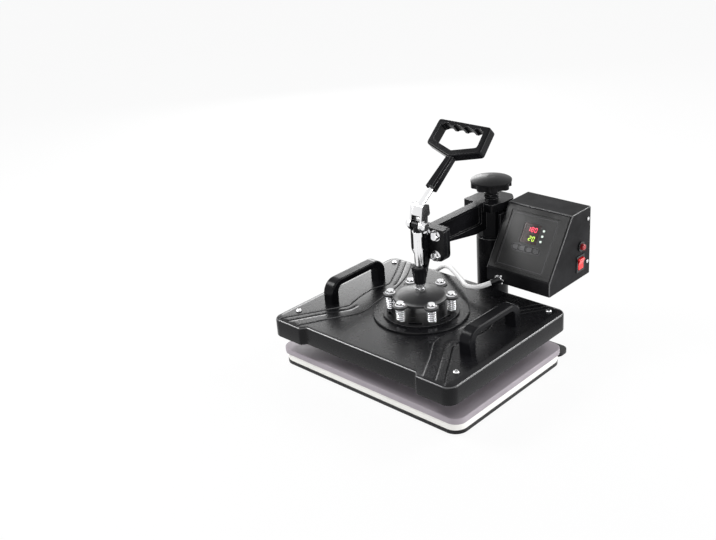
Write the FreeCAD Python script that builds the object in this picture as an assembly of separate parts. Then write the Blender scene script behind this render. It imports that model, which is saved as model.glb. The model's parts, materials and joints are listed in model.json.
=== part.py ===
import FreeCAD, Part
import math
import os

# Swing-away combo heat press, in millimetres.
# Frame: +Z up, +Y towards the rear, +X to the right of someone working at the front.
# The origin is on the bench, under the middle of the whole machine.
# Every vertical axis of the machine lies in the plane x = 0.

# Plan positions
PAD_Y = -54.25                  # middle of the pads
PLUNGER_Y = PAD_Y + 7.5         # axis of the plunger and the hot platen
POST_Y = PAD_Y + 208.0          # axis of the post, the swing arm's hub and the pressure knob

# Base
FOOT_H = 3.5
FOOT_R = 12.0
FRONT_FOOT = (168.0, PAD_Y - 118.0)
REAR_FOOT = (167.0, PAD_Y + 162.0)
FRAME_TOP = 7.0                 # flat bars under the tray
BAR_TOP = 9.5                   # rear bar and post plate
BAR_HALF_X = 184.0
RAIL_X, RAIL_HALF = 105.0, 15.0
POST_PLATE_R = 50.0
TRAY_X, TRAY_Y, TRAY_R, TRAY_TOP = 388.0, 284.0, 22.0, 9.0
SHEET = 2.0
FOAM_TOP = 21.5
SLAB_X, SLAB_Y, SLAB_R, SLAB_TOP = 392.0, 288.0, 20.0, 32.6
SCREW_R = 3.0                   # M6 foot screws

# Post and lift
POST_R, POST_BORE = 28.0, 24.0
POST_TOP = 168.0
FLANGE_R, FLANGE_TOP = 44.0, 17.5
POST_BOLT_PCD_R, POST_BOLT_R = 36.0, 4.0
LOWER_BUSH, UPPER_BUSH_LOW = (60.0, 86.0), 138.0
SEAT_TOP = 36.0                 # seat that the pressure screw turns in
SPINDLE_LOW = 52.0
SPINDLE_KEY = (61.0, 78.0)      # key that stops the spindle from turning
SPINDLE_R = 16.0
COLLAR_TOP = 172.0
JOURNAL_R, JOURNAL_LOW = 10.0, 234.0        # top journal, where the spindle nut is
SCREW_BAR_R = 6.0               # pressure screw
RUN = 0.05                      # radial running clearance
GAP = 0.1                       # axial running clearance
LIFT = 6.0                      # full lift of the arm, three turns of the knob

# Arm
HUB_TOP = 238.0
HUB_CORNER_R = 28.8             # eight-sided hub, over its corners
HEAD_PLAN = ((-37.0, -33.0), (25.0, -34.0), (32.5, -4.0), (32.5, 22.0), (20.0, 35.0), (-22.0, 35.0),
             (-35.0, 22.0), (-35.0, -8.0))
HEAD_LOW = 223.0                # underside of the hub's head plate
BOSS_R, BOSS_TOP = 12.5, 242.0
NUT_TOP = 247.0
KNOB_LOW, KNOB_RIM, KNOB_BROW, KNOB_TOP = 258.5, 269.0, 271.8, 277.4
KNOB_CAP_R, KNOB_CROWN_R = 36.4, 6.0
KNOB_STEM_R, STEM_GROOVES = 11.0, (249.2, 252.2, 255.2)
ARM_TOP, ARM_WEB_TOP, ARM_WEB_LOW = 241.0, 236.5, 205.0
ARM_HALF, ARM_WEB_HALF = 8.0, 2.6
END_Y0, END_Y1 = PAD_Y + 38.0, PAD_Y + 46.0
FLANGE_Y0 = PAD_Y + 30.0        # front face of the press head's flange
FLANGE_HALF, FLANGE_LOW = 36.0, 185.5
FLANGE_BOLTS = ((19.5, 231.0), (19.5, 194.5))
HUB_BORE = 20.0                 # seat of the two hub bushes
CUP_LOW, CUP_TOP, CUP_R = 149.0, 179.5, 13.5
BUSH_LOW, BUSH_R = 156.0, 9.2
EAR_HALF, EAR_R = 8.7, 7.2      # two ears that hold the fulcrum pin
FULCRUM_PIN_R = 3.5

# Plunger and lever
SHAFT_R, SHAFT_LOW, SHAFT_TOP = 7.5, 141.2, 241.0
SLOT_HALF, SLOT_Z = 1.9, (165.0, 227.0)     # long keyway that keeps the platen square to the arm
STROKE = 28.6                   # platen travel, which leaves 0.4 over the pad
HEAD_PIN_Z = 252.5              # cross pin in the plunger head
FULCRUM_BACK = 15.5             # from the plunger's axis back to the fulcrum pin
FULCRUM = (PLUNGER_Y + FULCRUM_BACK, HEAD_PIN_Z - STROKE / 2.0)
LEVER_TURN = 2.0 * math.degrees(math.atan2(STROKE / 2.0, FULCRUM_BACK))
THIN_R = 5.0                    # lower end of the plunger
HEAD_PIN_R = 4.0
ROD_R, ROD_LONG = 5.0, 86.0
CHEEK_IN, CHEEK_OUT = 9.0, 12.5
GRIP_THICK = 19.0
ROD_START = (PAD_Y + 13.0, 281.0)
ROD_TILT = 35.0                 # rod and stem, degrees above level
STEM_FROM, STEM_TO = 40.0, 106.0
GRIP_TILT = 44.0                # plane of the open grip
GRIP_APEX = (PAD_Y + 98.5, 341.0)

# Hot platen
COVER_X, COVER_LOW, COVER_TOP = 195.0, 62.0, 93.6
COVER_FRONT, COVER_RECESS, COVER_REAR = PAD_Y - 157.5, PAD_Y - 148.5, PAD_Y + 154.5
EAR_IN = 127.0                  # inner side of the two front ears
PLATEAU = 1.6                   # height of the pressed-up side fields
FIELD_OUT, FIELD_IN, FIELD_DISC = 189.0, 147.0, 92.0
COVER_SCREW_R = 2.5
HEATER_R, HEATER_HALF, HEATER_PITCH = 4.0, 150.0, 70.0
PLATE_LOW, PLATE_TOP = 61.6, 75.0
PLATE_X, PLATE_Y = 190.0, 143.0
DISC_R, DISC_TOP = 81.5, 97.0
SPRING_PLATE_R, LOWER_TOP = 65.0, 100.0
UPPER_LOW, UPPER_TOP = 123.6, 128.0
UPPER_DOME_R, UPPER_DOME_H = 42.0, 8.0
UPPER_BOSS_R, UPPER_BOSS_TOP = 8.0, 137.8
LOBE_PCD_R, LOBE_R = 52.0, 11.8
LOBES = [30.0 + 60.0 * k for k in range(6)]
BOLT_R = 4.0
HANDLE_X0, HANDLE_X1 = 138.0, 160.0
HANDLE_Y0, HANDLE_Y1 = PAD_Y - 66.0, PAD_Y + 70.0
HANDLE_TOP = 137.0

# Springs round the six platen bolts
WIRE_R, COIL_R, TURNS = 1.15, 6.8, 6

# Control box
BOX_X0, BOX_X1 = 38.0, 167.0
BOX_LOW, BOX_LIP, BOX_TOP = 115.0, 139.0, 239.0
BOX_FRONT, BOX_RIDGE, BOX_REAR = PAD_Y + 141.0, PAD_Y + 208.0, PAD_Y + 264.5
WALL = 1.5
SLOPE = math.degrees(math.atan2(BOX_TOP - BOX_LIP, BOX_RIDGE - BOX_FRONT))
KEYS_X = (80.0, 94.0, 108.0, 122.0)
KEY_ALONG = 47.0
KEY_GAP, KEY_DEEP = 5.3, 4.3    # half sizes of a key's opening in the panel
LEDS_AT = ((124.0, 84.0), (124.0, 74.5), (124.0, 65.0))
BOX_SCREWS_Z = (219.0, 140.0)
INLET = (128.0, 138.0)
SWITCH_Y, SWITCH_Z = PAD_Y + 234.0, 144.0
RESET_Y, RESET_Z = PAD_Y + 235.0, 175.0
CONNECTOR = (66.6, PAD_Y + 141.0, 122.8)
CABLE_R = 4.25
CABLE_AIM = (-0.60, -0.72, -0.30)

PARTS = {}


def vec(x, y, z):
    return FreeCAD.Vector(x, y, z)


def block(x0, x1, y0, y1, z0, z1):
    return Part.makeBox(x1 - x0, y1 - y0, z1 - z0, vec(x0, y0, z0))


def upright(x, y, z0, z1, r):
    return Part.makeCylinder(r, z1 - z0, vec(x, y, z0), vec(0, 0, 1))


def along_x(y, z, x0, x1, r):
    return Part.makeCylinder(r, x1 - x0, vec(x0, y, z), vec(1, 0, 0))


def along_y(x, z, y0, y1, r):
    return Part.makeCylinder(r, y1 - y0, vec(x, y0, z), vec(0, 1, 0))


def ring(x, y, z0, z1, outer, inner):
    return upright(x, y, z0, z1, outer).cut(upright(x, y, z0 - 1, z1 + 1, inner))


def outline(points, radii):
    """A closed flat wire through the points, with each corner rounded by its radius."""
    count = len(points)
    corners = []
    for i in range(count):
        point = points[i]
        back = (points[i - 1] - point).normalize()
        ahead = (points[(i + 1) % count] - point).normalize()
        if radii[i] <= 0:
            corners.append((point, None, point))
            continue
        half = back.getAngle(ahead) / 2.0
        reach = radii[i] / math.tan(half)
        bisector = (back + ahead).normalize()
        centre = point + bisector * (radii[i] / math.sin(half))
        corners.append((point + back * reach, centre - bisector * radii[i], point + ahead * reach))
    edges = []
    for i in range(count):
        first, middle, last = corners[i]
        if middle is not None:
            edges.append(Part.Arc(first, middle, last).toShape())
        following = corners[(i + 1) % count][0]
        if last.distanceToPoint(following) > 1e-6:
            edges.append(Part.LineSegment(last, following).toShape())
    return Part.Wire(edges)


def prism(points, radii, push):
    """A solid with a rounded flat outline, pushed along a vector."""
    if not isinstance(radii, (list, tuple)):
        radii = [radii] * len(points)
    return Part.Face(outline(points, radii)).extrude(push)


def slab(half_x, half_y, y, z0, z1, r):
    corners = [vec(-half_x, y - half_y, z0), vec(half_x, y - half_y, z0),
               vec(half_x, y + half_y, z0), vec(-half_x, y + half_y, z0)]
    return prism(corners, r, vec(0, 0, z1 - z0))


def side_plate(points, radii, x0, x1):
    """A plate whose outline is given in Y and Z."""
    return prism([vec(x0, y, z) for y, z in points], radii, vec(x1 - x0, 0, 0))


def pill(a, b, r, x0, x1):
    """A plate in Y and Z with two round ends, from point a to point b."""
    run = vec(0, b[0] - a[0], b[1] - a[1])
    side = vec(0, -run.z, run.y).normalize() * r
    tip = vec(0, run.y, run.z).normalize() * r
    start = vec(x0, a[0], a[1])
    end = vec(x0, b[0], b[1])
    edges = [Part.LineSegment(start - side, end - side).toShape(),
             Part.Arc(end - side, end + tip, end + side).toShape(),
             Part.LineSegment(end + side, start + side).toShape(),
             Part.Arc(start + side, start - tip, start - side).toShape()]
    return Part.Face(Part.Wire(edges)).extrude(vec(x1 - x0, 0, 0))


def hexagon(centre, axis, across, length):
    """A hexagonal prism, across its corners."""
    axis = vec(*axis)
    turn = FreeCAD.Rotation(vec(0, 0, 1), axis)
    points = []
    for k in range(6):
        angle = math.radians(60.0 * k)
        points.append(vec(across / 2.0 * math.cos(angle), across / 2.0 * math.sin(angle), 0))
    solid = prism(points, 0, vec(0, 0, length))
    crown = Part.makeCone(across / 2.0 + 1.0, across / 2.0 - 1.2, length + 0.01)
    solid = solid.common(crown)
    solid.Placement = FreeCAD.Placement(vec(*centre), turn)
    return solid


def polar(radius, degrees, x=0.0, y=0.0):
    angle = math.radians(degrees)
    return (x + radius * math.cos(angle), y + radius * math.sin(angle))


def fuse(shapes):
    whole = shapes[0]
    for shape in shapes[1:]:
        whole = whole.fuse(shape)
    return whole.removeSplitter()


def rounded(solid, radius, pick):
    """The solid with the picked edges filleted."""
    edges = [edge for edge in solid.Edges if pick(edge)]
    return solid.makeFillet(radius, edges)


def keep(name, shape):
    """Store one node: a solid, or a group of separate solids."""
    if isinstance(shape, (list, tuple)):
        solids = []
        for piece in shape:
            solids.extend(piece.Solids)
    else:
        solids = shape.Solids
    PARTS[name] = solids[0] if len(solids) == 1 else Part.makeCompound(solids)
    valid = all(solid.isValid() for solid in solids)
    volume = sum(solid.Volume for solid in solids) / 1000.0
    print("%-18s %2d solid(s) valid %s volume %8.2f cm3" % (name, len(solids), valid, volume))


def mirrored(shape):
    return shape.mirror(vec(0, 0, 0), vec(1, 0, 0))


# Base: feet, welded frame, tray, pads


def build_base():
    feet_at = [(s * x, y) for x, y in (FRONT_FOOT, REAR_FOOT) for s in (-1, 1)]
    feet = []
    screws = []
    for x, y in feet_at:
        top = TRAY_TOP if y < 0 else BAR_TOP
        foot = Part.makeCone(FOOT_R - 1.5, FOOT_R, FOOT_H, vec(x, y, 0))
        feet.append(foot.cut(upright(x, y, 1.2, FOOT_H + 1, SCREW_R)))
        shank = upright(x, y, 1.2, top + 0.5, SCREW_R)
        crown = Part.makeCone(5.6, 4.0, 1.0, vec(x, y, top + 2.0))
        screws.append(fuse([shank, upright(x, y, top, top + 2.0, 5.6), crown]))
    keep("rubber_feet", feet)
    keep("foot_screws", screws)

    rails = [block(x - RAIL_HALF, x + RAIL_HALF, PAD_Y - 110, PAD_Y + 148, FOOT_H, FRAME_TOP)
             for x in (-RAIL_X, RAIL_X)]
    front_bar = slab(BAR_HALF_X, 14.0, FRONT_FOOT[1], FOOT_H, FRAME_TOP, 12.0)
    rear_bar = slab(BAR_HALF_X, 17.5, PAD_Y + 161.5, FOOT_H, BAR_TOP, 14.0)
    plate = upright(0, POST_Y, FOOT_H, BAR_TOP, POST_PLATE_R)
    neck = block(-POST_PLATE_R, POST_PLATE_R, PAD_Y + 160, POST_Y, FOOT_H, BAR_TOP)
    frame = fuse(rails + [front_bar, rear_bar, plate, neck])
    for x, y in feet_at:
        frame = frame.cut(upright(x, y, 0, BAR_TOP + 1, SCREW_R))
    for k in range(4):
        x, y = polar(POST_BOLT_PCD_R, 45 + 90 * k, 0, POST_Y)
        frame = frame.cut(upright(x, y, 0, BAR_TOP + 1, POST_BOLT_R))
    keep("base_frame", frame)

    half_x, half_y = TRAY_X / 2.0, TRAY_Y / 2.0
    tray = slab(half_x, half_y, PAD_Y, 3.0, TRAY_TOP, TRAY_R)
    tray = rounded(tray, 1.2, lambda e: abs(e.CenterOfMass.z - TRAY_TOP) < 1e-3)
    tray = tray.cut(slab(half_x - SHEET, half_y - SHEET, PAD_Y, 2.0, TRAY_TOP - SHEET, TRAY_R - SHEET))
    notch = RAIL_HALF + 0.3
    for x in (-RAIL_X, RAIL_X):
        tray = tray.cut(block(x - notch, x + notch, PAD_Y + 130, PAD_Y + 150, 2.0, FRAME_TOP))
    for s in (-1, 1):
        tray = tray.cut(upright(s * FRONT_FOOT[0], FRONT_FOOT[1], 0, 20, SCREW_R))
    keep("base_tray", tray)

    foam = slab(half_x, half_y, PAD_Y, TRAY_TOP, FOAM_TOP, TRAY_R)
    for s in (-1, 1):
        foam = foam.cut(upright(s * FRONT_FOOT[0], FRONT_FOOT[1], TRAY_TOP - 1, TRAY_TOP + 3.6, 7.0))
    keep("foam_pad", foam)

    silicone = slab(SLAB_X / 2.0, SLAB_Y / 2.0, PAD_Y, FOAM_TOP, SLAB_TOP, SLAB_R)
    silicone = rounded(silicone, 2.0, lambda e: abs(e.CenterOfMass.z - SLAB_TOP) < 1e-3)
    keep("silicone_pad", silicone)


# Post, with the spindle that the knob lifts


def build_post():
    tube = ring(0, POST_Y, FLANGE_TOP, POST_TOP, POST_R, POST_BORE)
    flange = ring(0, POST_Y, BAR_TOP, FLANGE_TOP, FLANGE_R, POST_BORE)
    post = fuse([tube, flange])
    bolts = []
    for k in range(4):
        x, y = polar(POST_BOLT_PCD_R, 45 + 90 * k, 0, POST_Y)
        post = post.cut(upright(x, y, 0, 30, POST_BOLT_R))
        head = hexagon((x, y, FLANGE_TOP), (0, 0, 1), 14.4, 5.5)
        bolts.append(fuse([upright(x, y, FOOT_H + 0.5, FLANGE_TOP + 1, POST_BOLT_R), head]))
    keep("post", post)
    keep("post_bolts", bolts)

    bore = SPINDLE_R + RUN
    lower = ring(0, POST_Y, *LOWER_BUSH, POST_BORE, bore)
    lower = lower.cut(block(-3.06, 3.06, POST_Y + 10, POST_Y + 19.8, 50, 90))
    upper = ring(0, POST_Y, UPPER_BUSH_LOW, POST_TOP - 0.5, POST_BORE, bore)
    keep("post_bushes", [lower, upper])
    keep("screw_seat", ring(0, POST_Y, BAR_TOP, SEAT_TOP, POST_BORE, SCREW_BAR_R + RUN))

    spindle = fuse([upright(0, POST_Y, SPINDLE_LOW, COLLAR_TOP, SPINDLE_R),
                    upright(0, POST_Y, POST_TOP, COLLAR_TOP, 27.0),
                    upright(0, POST_Y, COLLAR_TOP - 1, JOURNAL_LOW, SPINDLE_R),
                    upright(0, POST_Y, JOURNAL_LOW - 1, NUT_TOP, JOURNAL_R),
                    block(-3, 3, POST_Y + 12, POST_Y + 19.5, *SPINDLE_KEY)])
    spindle = spindle.cut(upright(0, POST_Y, 40, 260, SCREW_BAR_R + RUN))
    keep("spindle", spindle)
    nut = hexagon((0, POST_Y, BOSS_TOP + GAP), (0, 0, 1), 27.5, NUT_TOP - BOSS_TOP - GAP)
    keep("spindle_nut", nut.cut(upright(0, POST_Y, 230, 260, JOURNAL_R)))

    screw = fuse([upright(0, POST_Y, 14, 268, SCREW_BAR_R),
                  upright(0, POST_Y, SPINDLE_LOW - 6, SPINDLE_LOW - GAP, JOURNAL_R)])
    keep("pressure_screw", screw)
    stem = upright(0, POST_Y, NUT_TOP + 0.3, KNOB_LOW + 1, KNOB_STEM_R)
    for z in STEM_GROOVES:
        stem = stem.cut(ring(0, POST_Y, z, z + 1.4, KNOB_STEM_R + 1, KNOB_STEM_R - 1.4))
    body = upright(0, POST_Y, KNOB_LOW, KNOB_RIM + 1, 33.0)
    lobes = [upright(*polar(24.5, 45.0 * k, 0, POST_Y), KNOB_LOW, KNOB_RIM + 1, 11.5) for k in range(8)]
    body = fuse([body] + lobes)
    for k in range(8):
        x, y = polar(41.5, 22.5 + 45.0 * k, 0, POST_Y)
        body = body.cut(upright(x, y, KNOB_LOW - 1, KNOB_RIM + 2, 11.0))
    low, edge = vec(0, POST_Y, KNOB_RIM), vec(KNOB_CAP_R, POST_Y, KNOB_RIM)
    brow, crown = vec(KNOB_CAP_R, POST_Y, KNOB_BROW), vec(KNOB_CROWN_R, POST_Y, KNOB_TOP)
    middle = vec(0, POST_Y, KNOB_TOP)
    section = Part.Wire([Part.LineSegment(low, edge).toShape(),
                         Part.LineSegment(edge, brow).toShape(),
                         Part.Arc(brow, vec(KNOB_CAP_R / 2.0, POST_Y, KNOB_TOP - 1.3), crown).toShape(),
                         Part.LineSegment(crown, middle).toShape(),
                         Part.LineSegment(middle, low).toShape()])
    cap = Part.Face(section).revolve(vec(0, POST_Y, 0), vec(0, 0, 1), 360.0)
    knob = fuse([body, cap, stem]).cut(upright(0, POST_Y, 240, 268, SCREW_BAR_R))
    keep("pressure_knob", knob)


# Swing arm and the press head bolted to its end


def build_arm():
    corners = [polar(HUB_CORNER_R, 5.0 + 45.0 * k, 0, POST_Y) for k in range(8)]
    hub = prism([vec(x, y, COLLAR_TOP + GAP) for x, y in corners], 3.0, vec(0, 0, HUB_TOP - COLLAR_TOP - GAP))
    plan = [vec(x, POST_Y + y, HEAD_LOW) for x, y in HEAD_PLAN]
    head = prism(plan, [3, 4, 9, 9, 9, 9, 9, 9], vec(0, 0, HUB_TOP - HEAD_LOW))
    boss = upright(0, POST_Y, HUB_TOP - 1, BOSS_TOP, BOSS_R)
    root_y = POST_Y - 20
    profile = [(END_Y0 + 4, ARM_TOP), (END_Y0 + 4, 200.0), (PAD_Y + 79, 200.0),
               (PAD_Y + 150, 188.0), (root_y, 188.0), (root_y, ARM_TOP)]
    beam = side_plate(profile, [0, 0, 20, 12, 0, 0], -ARM_HALF, ARM_HALF)
    pocket = [(END_Y1 + 4, ARM_WEB_TOP), (END_Y1 + 4, ARM_WEB_LOW + 1), (PAD_Y + 168, ARM_WEB_LOW - 3),
              (PAD_Y + 168, ARM_WEB_TOP)]
    deep = ARM_HALF + 1
    beam = beam.cut(side_plate(pocket, 4.0, ARM_WEB_HALF, deep))
    beam = beam.cut(side_plate(pocket, 4.0, -deep, -ARM_WEB_HALF))
    end = prism([vec(-FLANGE_HALF, END_Y0, FLANGE_LOW), vec(FLANGE_HALF, END_Y0, FLANGE_LOW),
                 vec(FLANGE_HALF, END_Y0, 243.0), vec(-FLANGE_HALF, END_Y0, 243.0)],
                [12, 12, 4, 4], vec(0, END_Y1 - END_Y0, 0))
    arm = fuse([hub, head, boss, beam, end])
    arm = arm.cut(upright(0, POST_Y, 160, JOURNAL_LOW + 0.5, HUB_BORE))
    arm = arm.cut(upright(0, POST_Y, 200, 250, JOURNAL_R + RUN))
    bolt_r = 4.5
    for s in (-1, 1):
        for x, z in FLANGE_BOLTS:
            arm = arm.cut(along_y(s * x, z, END_Y0 - 5, END_Y1 + 5, bolt_r))
    keep("arm_casting", arm)
    bore = SPINDLE_R + RUN
    keep("hub_bushes", [ring(0, POST_Y, COLLAR_TOP + GAP, 190, HUB_BORE, bore),
                        ring(0, POST_Y, 216, JOURNAL_LOW - 1, HUB_BORE, bore)])

    fy, fz = FULCRUM
    flange = prism([vec(-FLANGE_HALF, FLANGE_Y0, FLANGE_LOW), vec(FLANGE_HALF, FLANGE_Y0, FLANGE_LOW),
                    vec(FLANGE_HALF, FLANGE_Y0, 241.0), vec(-FLANGE_HALF, FLANGE_Y0, 241.0)],
                   [12, 12, 3, 3], vec(0, END_Y0 - FLANGE_Y0, 0))
    lip = block(-FLANGE_HALF, FLANGE_HALF, FLANGE_Y0 - 2.5, END_Y0, 241.0, 243.0)
    web_front = PLUNGER_Y + EAR_HALF
    web = side_plate([(FLANGE_Y0 + 1, 241.0), (web_front, 241.0), (web_front, 170.0),
                      (PLUNGER_Y + 10, 156.0), (FLANGE_Y0 + 1, 193.0)], 0, -6.0, 6.0)
    cup = Part.makeCone(9.6, CUP_R, CUP_TOP - 1.5 - CUP_LOW, vec(0, PLUNGER_Y, CUP_LOW))
    cup_rim = upright(0, PLUNGER_Y, CUP_TOP - 3.5, CUP_TOP, CUP_R)
    ears = fuse([along_x(fy, fz, -EAR_HALF, EAR_HALF, EAR_R),
                 block(-EAR_HALF, EAR_HALF, fy, FLANGE_Y0 + 1, fz - EAR_R, fz + 4.8)])
    head = fuse([flange, lip, web, cup, cup_rim, ears])
    slot = block(-5.3, 5.3, web_front - 1, FLANGE_Y0, fz - 8.0, fz + 12)
    head = head.cut(slot)
    head = head.cut(upright(0, PLUNGER_Y, 140, 181, SHAFT_R + 0.4))
    head = head.cut(upright(0, PLUNGER_Y, BUSH_LOW, 181, BUSH_R))
    head = head.cut(along_x(fy, fz, -12, 12, FULCRUM_PIN_R))
    bolts = []
    for s in (-1, 1):
        for x, z in FLANGE_BOLTS:
            head = head.cut(along_y(s * x, z, FLANGE_Y0 - 5, END_Y0 + 5, bolt_r))
            shank = along_y(s * x, z, FLANGE_Y0 - 3.0, END_Y1 + 9.0, bolt_r)
            washer = along_y(s * x, z, FLANGE_Y0 - 1.6, FLANGE_Y0, 9.5)
            cap = hexagon((s * x, FLANGE_Y0 - 1.6, z), (0, -1, 0), 16.0, 5.6)
            nut = hexagon((s * x, END_Y1, z), (0, 1, 0), 16.0, 6.5)
            bolts.append(fuse([shank, washer, cap, nut]))
    keep("press_head", head)
    keep("flange_bolts", bolts)
    keep("plunger_bush", ring(0, PLUNGER_Y, BUSH_LOW, CUP_TOP, BUSH_R, SHAFT_R + RUN))
    pin = fuse([along_x(fy, fz, -10.0, 10.0 - GAP, FULCRUM_PIN_R), along_x(fy, fz, EAR_HALF, 10.4, 5.0),
                along_x(fy, fz, -10.4, -EAR_HALF, 5.0)])
    keep("fulcrum_pin", pin)
    return arm


# Plunger, lobed plates, springs, cover, handles and heating plate


def lobed_plate(z0, z1, core):
    lobes = [upright(*polar(LOBE_PCD_R, a, 0, PLUNGER_Y), z0, z1, LOBE_R) for a in LOBES]
    plate = fuse([upright(0, PLUNGER_Y, z0, z1, core)] + lobes)
    for a in LOBES:
        x, y = polar(LOBE_PCD_R, a, 0, PLUNGER_Y)
        plate = plate.cut(upright(x, y, z0 - 1, z1 + 1, BOLT_R))
    return plate


def spring_path():
    """Points and tangents of the coil, a quarter turn apart."""
    start = LOWER_TOP + WIRE_R + 0.05
    rise = UPPER_LOW - WIRE_R - 0.05 - start
    steps = TURNS * 4
    slope = rise / (TURNS * 2.0 * math.pi * COIL_R)
    path = []
    for i in range(steps + 1):
        angle = math.radians(90.0 * i)
        point = vec(COIL_R * math.cos(angle), COIL_R * math.sin(angle), start + rise * i / steps)
        path.append((point, vec(-math.sin(angle), math.cos(angle), slope).normalize()))
    return path


def arc_from(point, tangent, end):
    """The circular arc that leaves a point along a tangent and reaches the end."""
    chord = end - point
    normal = chord - tangent * chord.dot(tangent)
    normal.normalize()
    radius = chord.dot(chord) / (2.0 * chord.dot(normal))
    centre = point + normal * radius
    middle = centre + ((point - centre) + (end - centre)).normalize() * radius
    return Part.Arc(point, middle, end).toShape(), radius


def biarc(start, heading, end, arrival):
    """Two arcs that join smoothly between two points with given tangents."""
    span = end - start
    a = 2.0 * (1.0 - heading.dot(arrival))
    b = 2.0 * span.dot(heading + arrival)
    d = (-b + math.sqrt(b * b + 4.0 * a * span.dot(span))) / (2.0 * a)
    joint = (start + end + (heading - arrival) * d) * 0.5
    first, r1 = arc_from(start, heading, joint)
    second, r2 = arc_from(end, arrival * -1.0, joint)
    return [first, second], min(r1, r2)


def coil_gap(path):
    """Least distance between two turns of the wire, less the wire."""
    points = []
    for i in range(TURNS * 24 + 1):
        angle = 2.0 * math.pi * i / 24.0
        z = path[0][0].z + (path[-1][0].z - path[0][0].z) * i / (TURNS * 24.0)
        points.append(vec(COIL_R * math.cos(angle), COIL_R * math.sin(angle), z))
    least = min(points[i].distanceToPoint(points[j])
                for i in range(len(points)) for j in range(i + 16, len(points)))
    return least - 2.0 * WIRE_R


def coil_spring():
    path = spring_path()
    edges = []
    tightest = COIL_R
    for (p, t), (q, u) in zip(path, path[1:]):
        pair, radius = biarc(p, t, q, u)
        edges.extend(pair)
        tightest = min(tightest, radius)
    circle = Part.Circle(path[0][0], path[0][1], WIRE_R).toShape()
    pipe = Part.BRepOffsetAPI.MakePipeShell(Part.Wire(edges))
    pipe.add(Part.Wire([circle]))
    pipe.build()
    pipe.makeSolid()
    print("spring: least gap %.2f mm, tightest radius %.2f mm" % (coil_gap(path), tightest))
    return pipe.shape()


def build_platen():
    shaft = fuse([upright(0, PLUNGER_Y, SHAFT_LOW, SHAFT_TOP, SHAFT_R),
                  upright(0, PLUNGER_Y, UPPER_TOP, SHAFT_LOW + 1, THIN_R)])
    slot = block(-SLOT_HALF, SLOT_HALF, -SHAFT_R - 1, -SHAFT_R + 2.0, *SLOT_Z)
    slot.Placement = FreeCAD.Placement(vec(0, PLUNGER_Y, 0), FreeCAD.Rotation(vec(0, 0, 1), 45.0))
    keep("plunger_shaft", shaft.cut(slot))
    neck = fuse([upright(0, PLUNGER_Y, SHAFT_TOP, HEAD_PIN_Z - 3.0, SHAFT_R - 0.1),
                 along_x(PLUNGER_Y, HEAD_PIN_Z, -7.6, 7.6, 7.4)])
    keep("plunger_head", neck.cut(along_x(PLUNGER_Y, HEAD_PIN_Z, -20, 20, HEAD_PIN_R)))
    pin = fuse([along_x(PLUNGER_Y, HEAD_PIN_Z, -14.0, 14.0, HEAD_PIN_R),
                along_x(PLUNGER_Y, HEAD_PIN_Z, 12.9, 14.4, 8.6),
                along_x(PLUNGER_Y, HEAD_PIN_Z, -14.4, -12.9, 8.6),
                hexagon((14.4, PLUNGER_Y, HEAD_PIN_Z), (1, 0, 0), 14.6, 5.4),
                hexagon((-14.4, PLUNGER_Y, HEAD_PIN_Z), (-1, 0, 0), 14.6, 6.0)])
    keep("head_pin", pin)
    nut = hexagon((0, PLUNGER_Y, UPPER_BOSS_TOP), (0, 0, 1), 18.4, SHAFT_LOW - UPPER_BOSS_TOP)
    keep("lock_nut", nut.cut(upright(0, PLUNGER_Y, 130, 150, THIN_R)))

    ball = (UPPER_DOME_R * UPPER_DOME_R + UPPER_DOME_H * UPPER_DOME_H) / (2.0 * UPPER_DOME_H)
    dome = Part.makeSphere(ball, vec(0, PLUNGER_Y, UPPER_TOP + UPPER_DOME_H - ball))
    dome = dome.common(upright(0, PLUNGER_Y, UPPER_TOP - 1, UPPER_TOP + 20, UPPER_DOME_R))
    boss = upright(0, PLUNGER_Y, UPPER_TOP, UPPER_BOSS_TOP, UPPER_BOSS_R)
    upper = fuse([lobed_plate(UPPER_LOW, UPPER_TOP, 47.0), dome, boss])
    keep("upper_spider", upper.cut(upright(0, PLUNGER_Y, UPPER_TOP, 150, THIN_R)))
    bolts = []
    springs = []
    coil = coil_spring()
    for a in LOBES:
        x, y = polar(LOBE_PCD_R, a, 0, PLUNGER_Y)
        shank = upright(x, y, DISC_TOP + 0.5, UPPER_TOP + 2, BOLT_R)
        washer = upright(x, y, UPPER_TOP, UPPER_TOP + 1.0, 8.6)
        bolts.append(fuse([shank, washer, hexagon((x, y, UPPER_TOP + 1.0), (0, 0, 1), 14.4, 4.6)]))
        spring = coil.copy()
        spring.Placement = FreeCAD.Placement(vec(x, y, 0), FreeCAD.Rotation(vec(0, 0, 1), a + 40.0))
        springs.append(spring)
    keep("platen_bolts", bolts)
    keep("pressure_springs", springs)

    plate = upright(0, PLUNGER_Y, DISC_TOP, LOWER_TOP, SPRING_PLATE_R)
    for k in range(6):
        x, y = polar(LOBE_PCD_R, LOBES[k], 0, PLUNGER_Y)
        plate = plate.cut(upright(x, y, DISC_TOP - 1, LOWER_TOP + 1, BOLT_R))
        x, y = polar(53.0, 60.0 * k, 0, PLUNGER_Y)
        slot = pill_plan((-10, 0), (10, 0), 3.0, 90, 110)
        slot.Placement = FreeCAD.Placement(vec(x, y, 0), FreeCAD.Rotation(vec(0, 0, 1), 60.0 * k + 90.0))
        plate = plate.cut(slot)
    keep("spring_plate", plate)
    disc = upright(0, PLUNGER_Y, COVER_TOP, DISC_TOP, DISC_R)
    keep("hub_disc", rounded(disc, 1.5, lambda e: abs(e.CenterOfMass.z - DISC_TOP) < 1e-3))
    build_cover()


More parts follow.
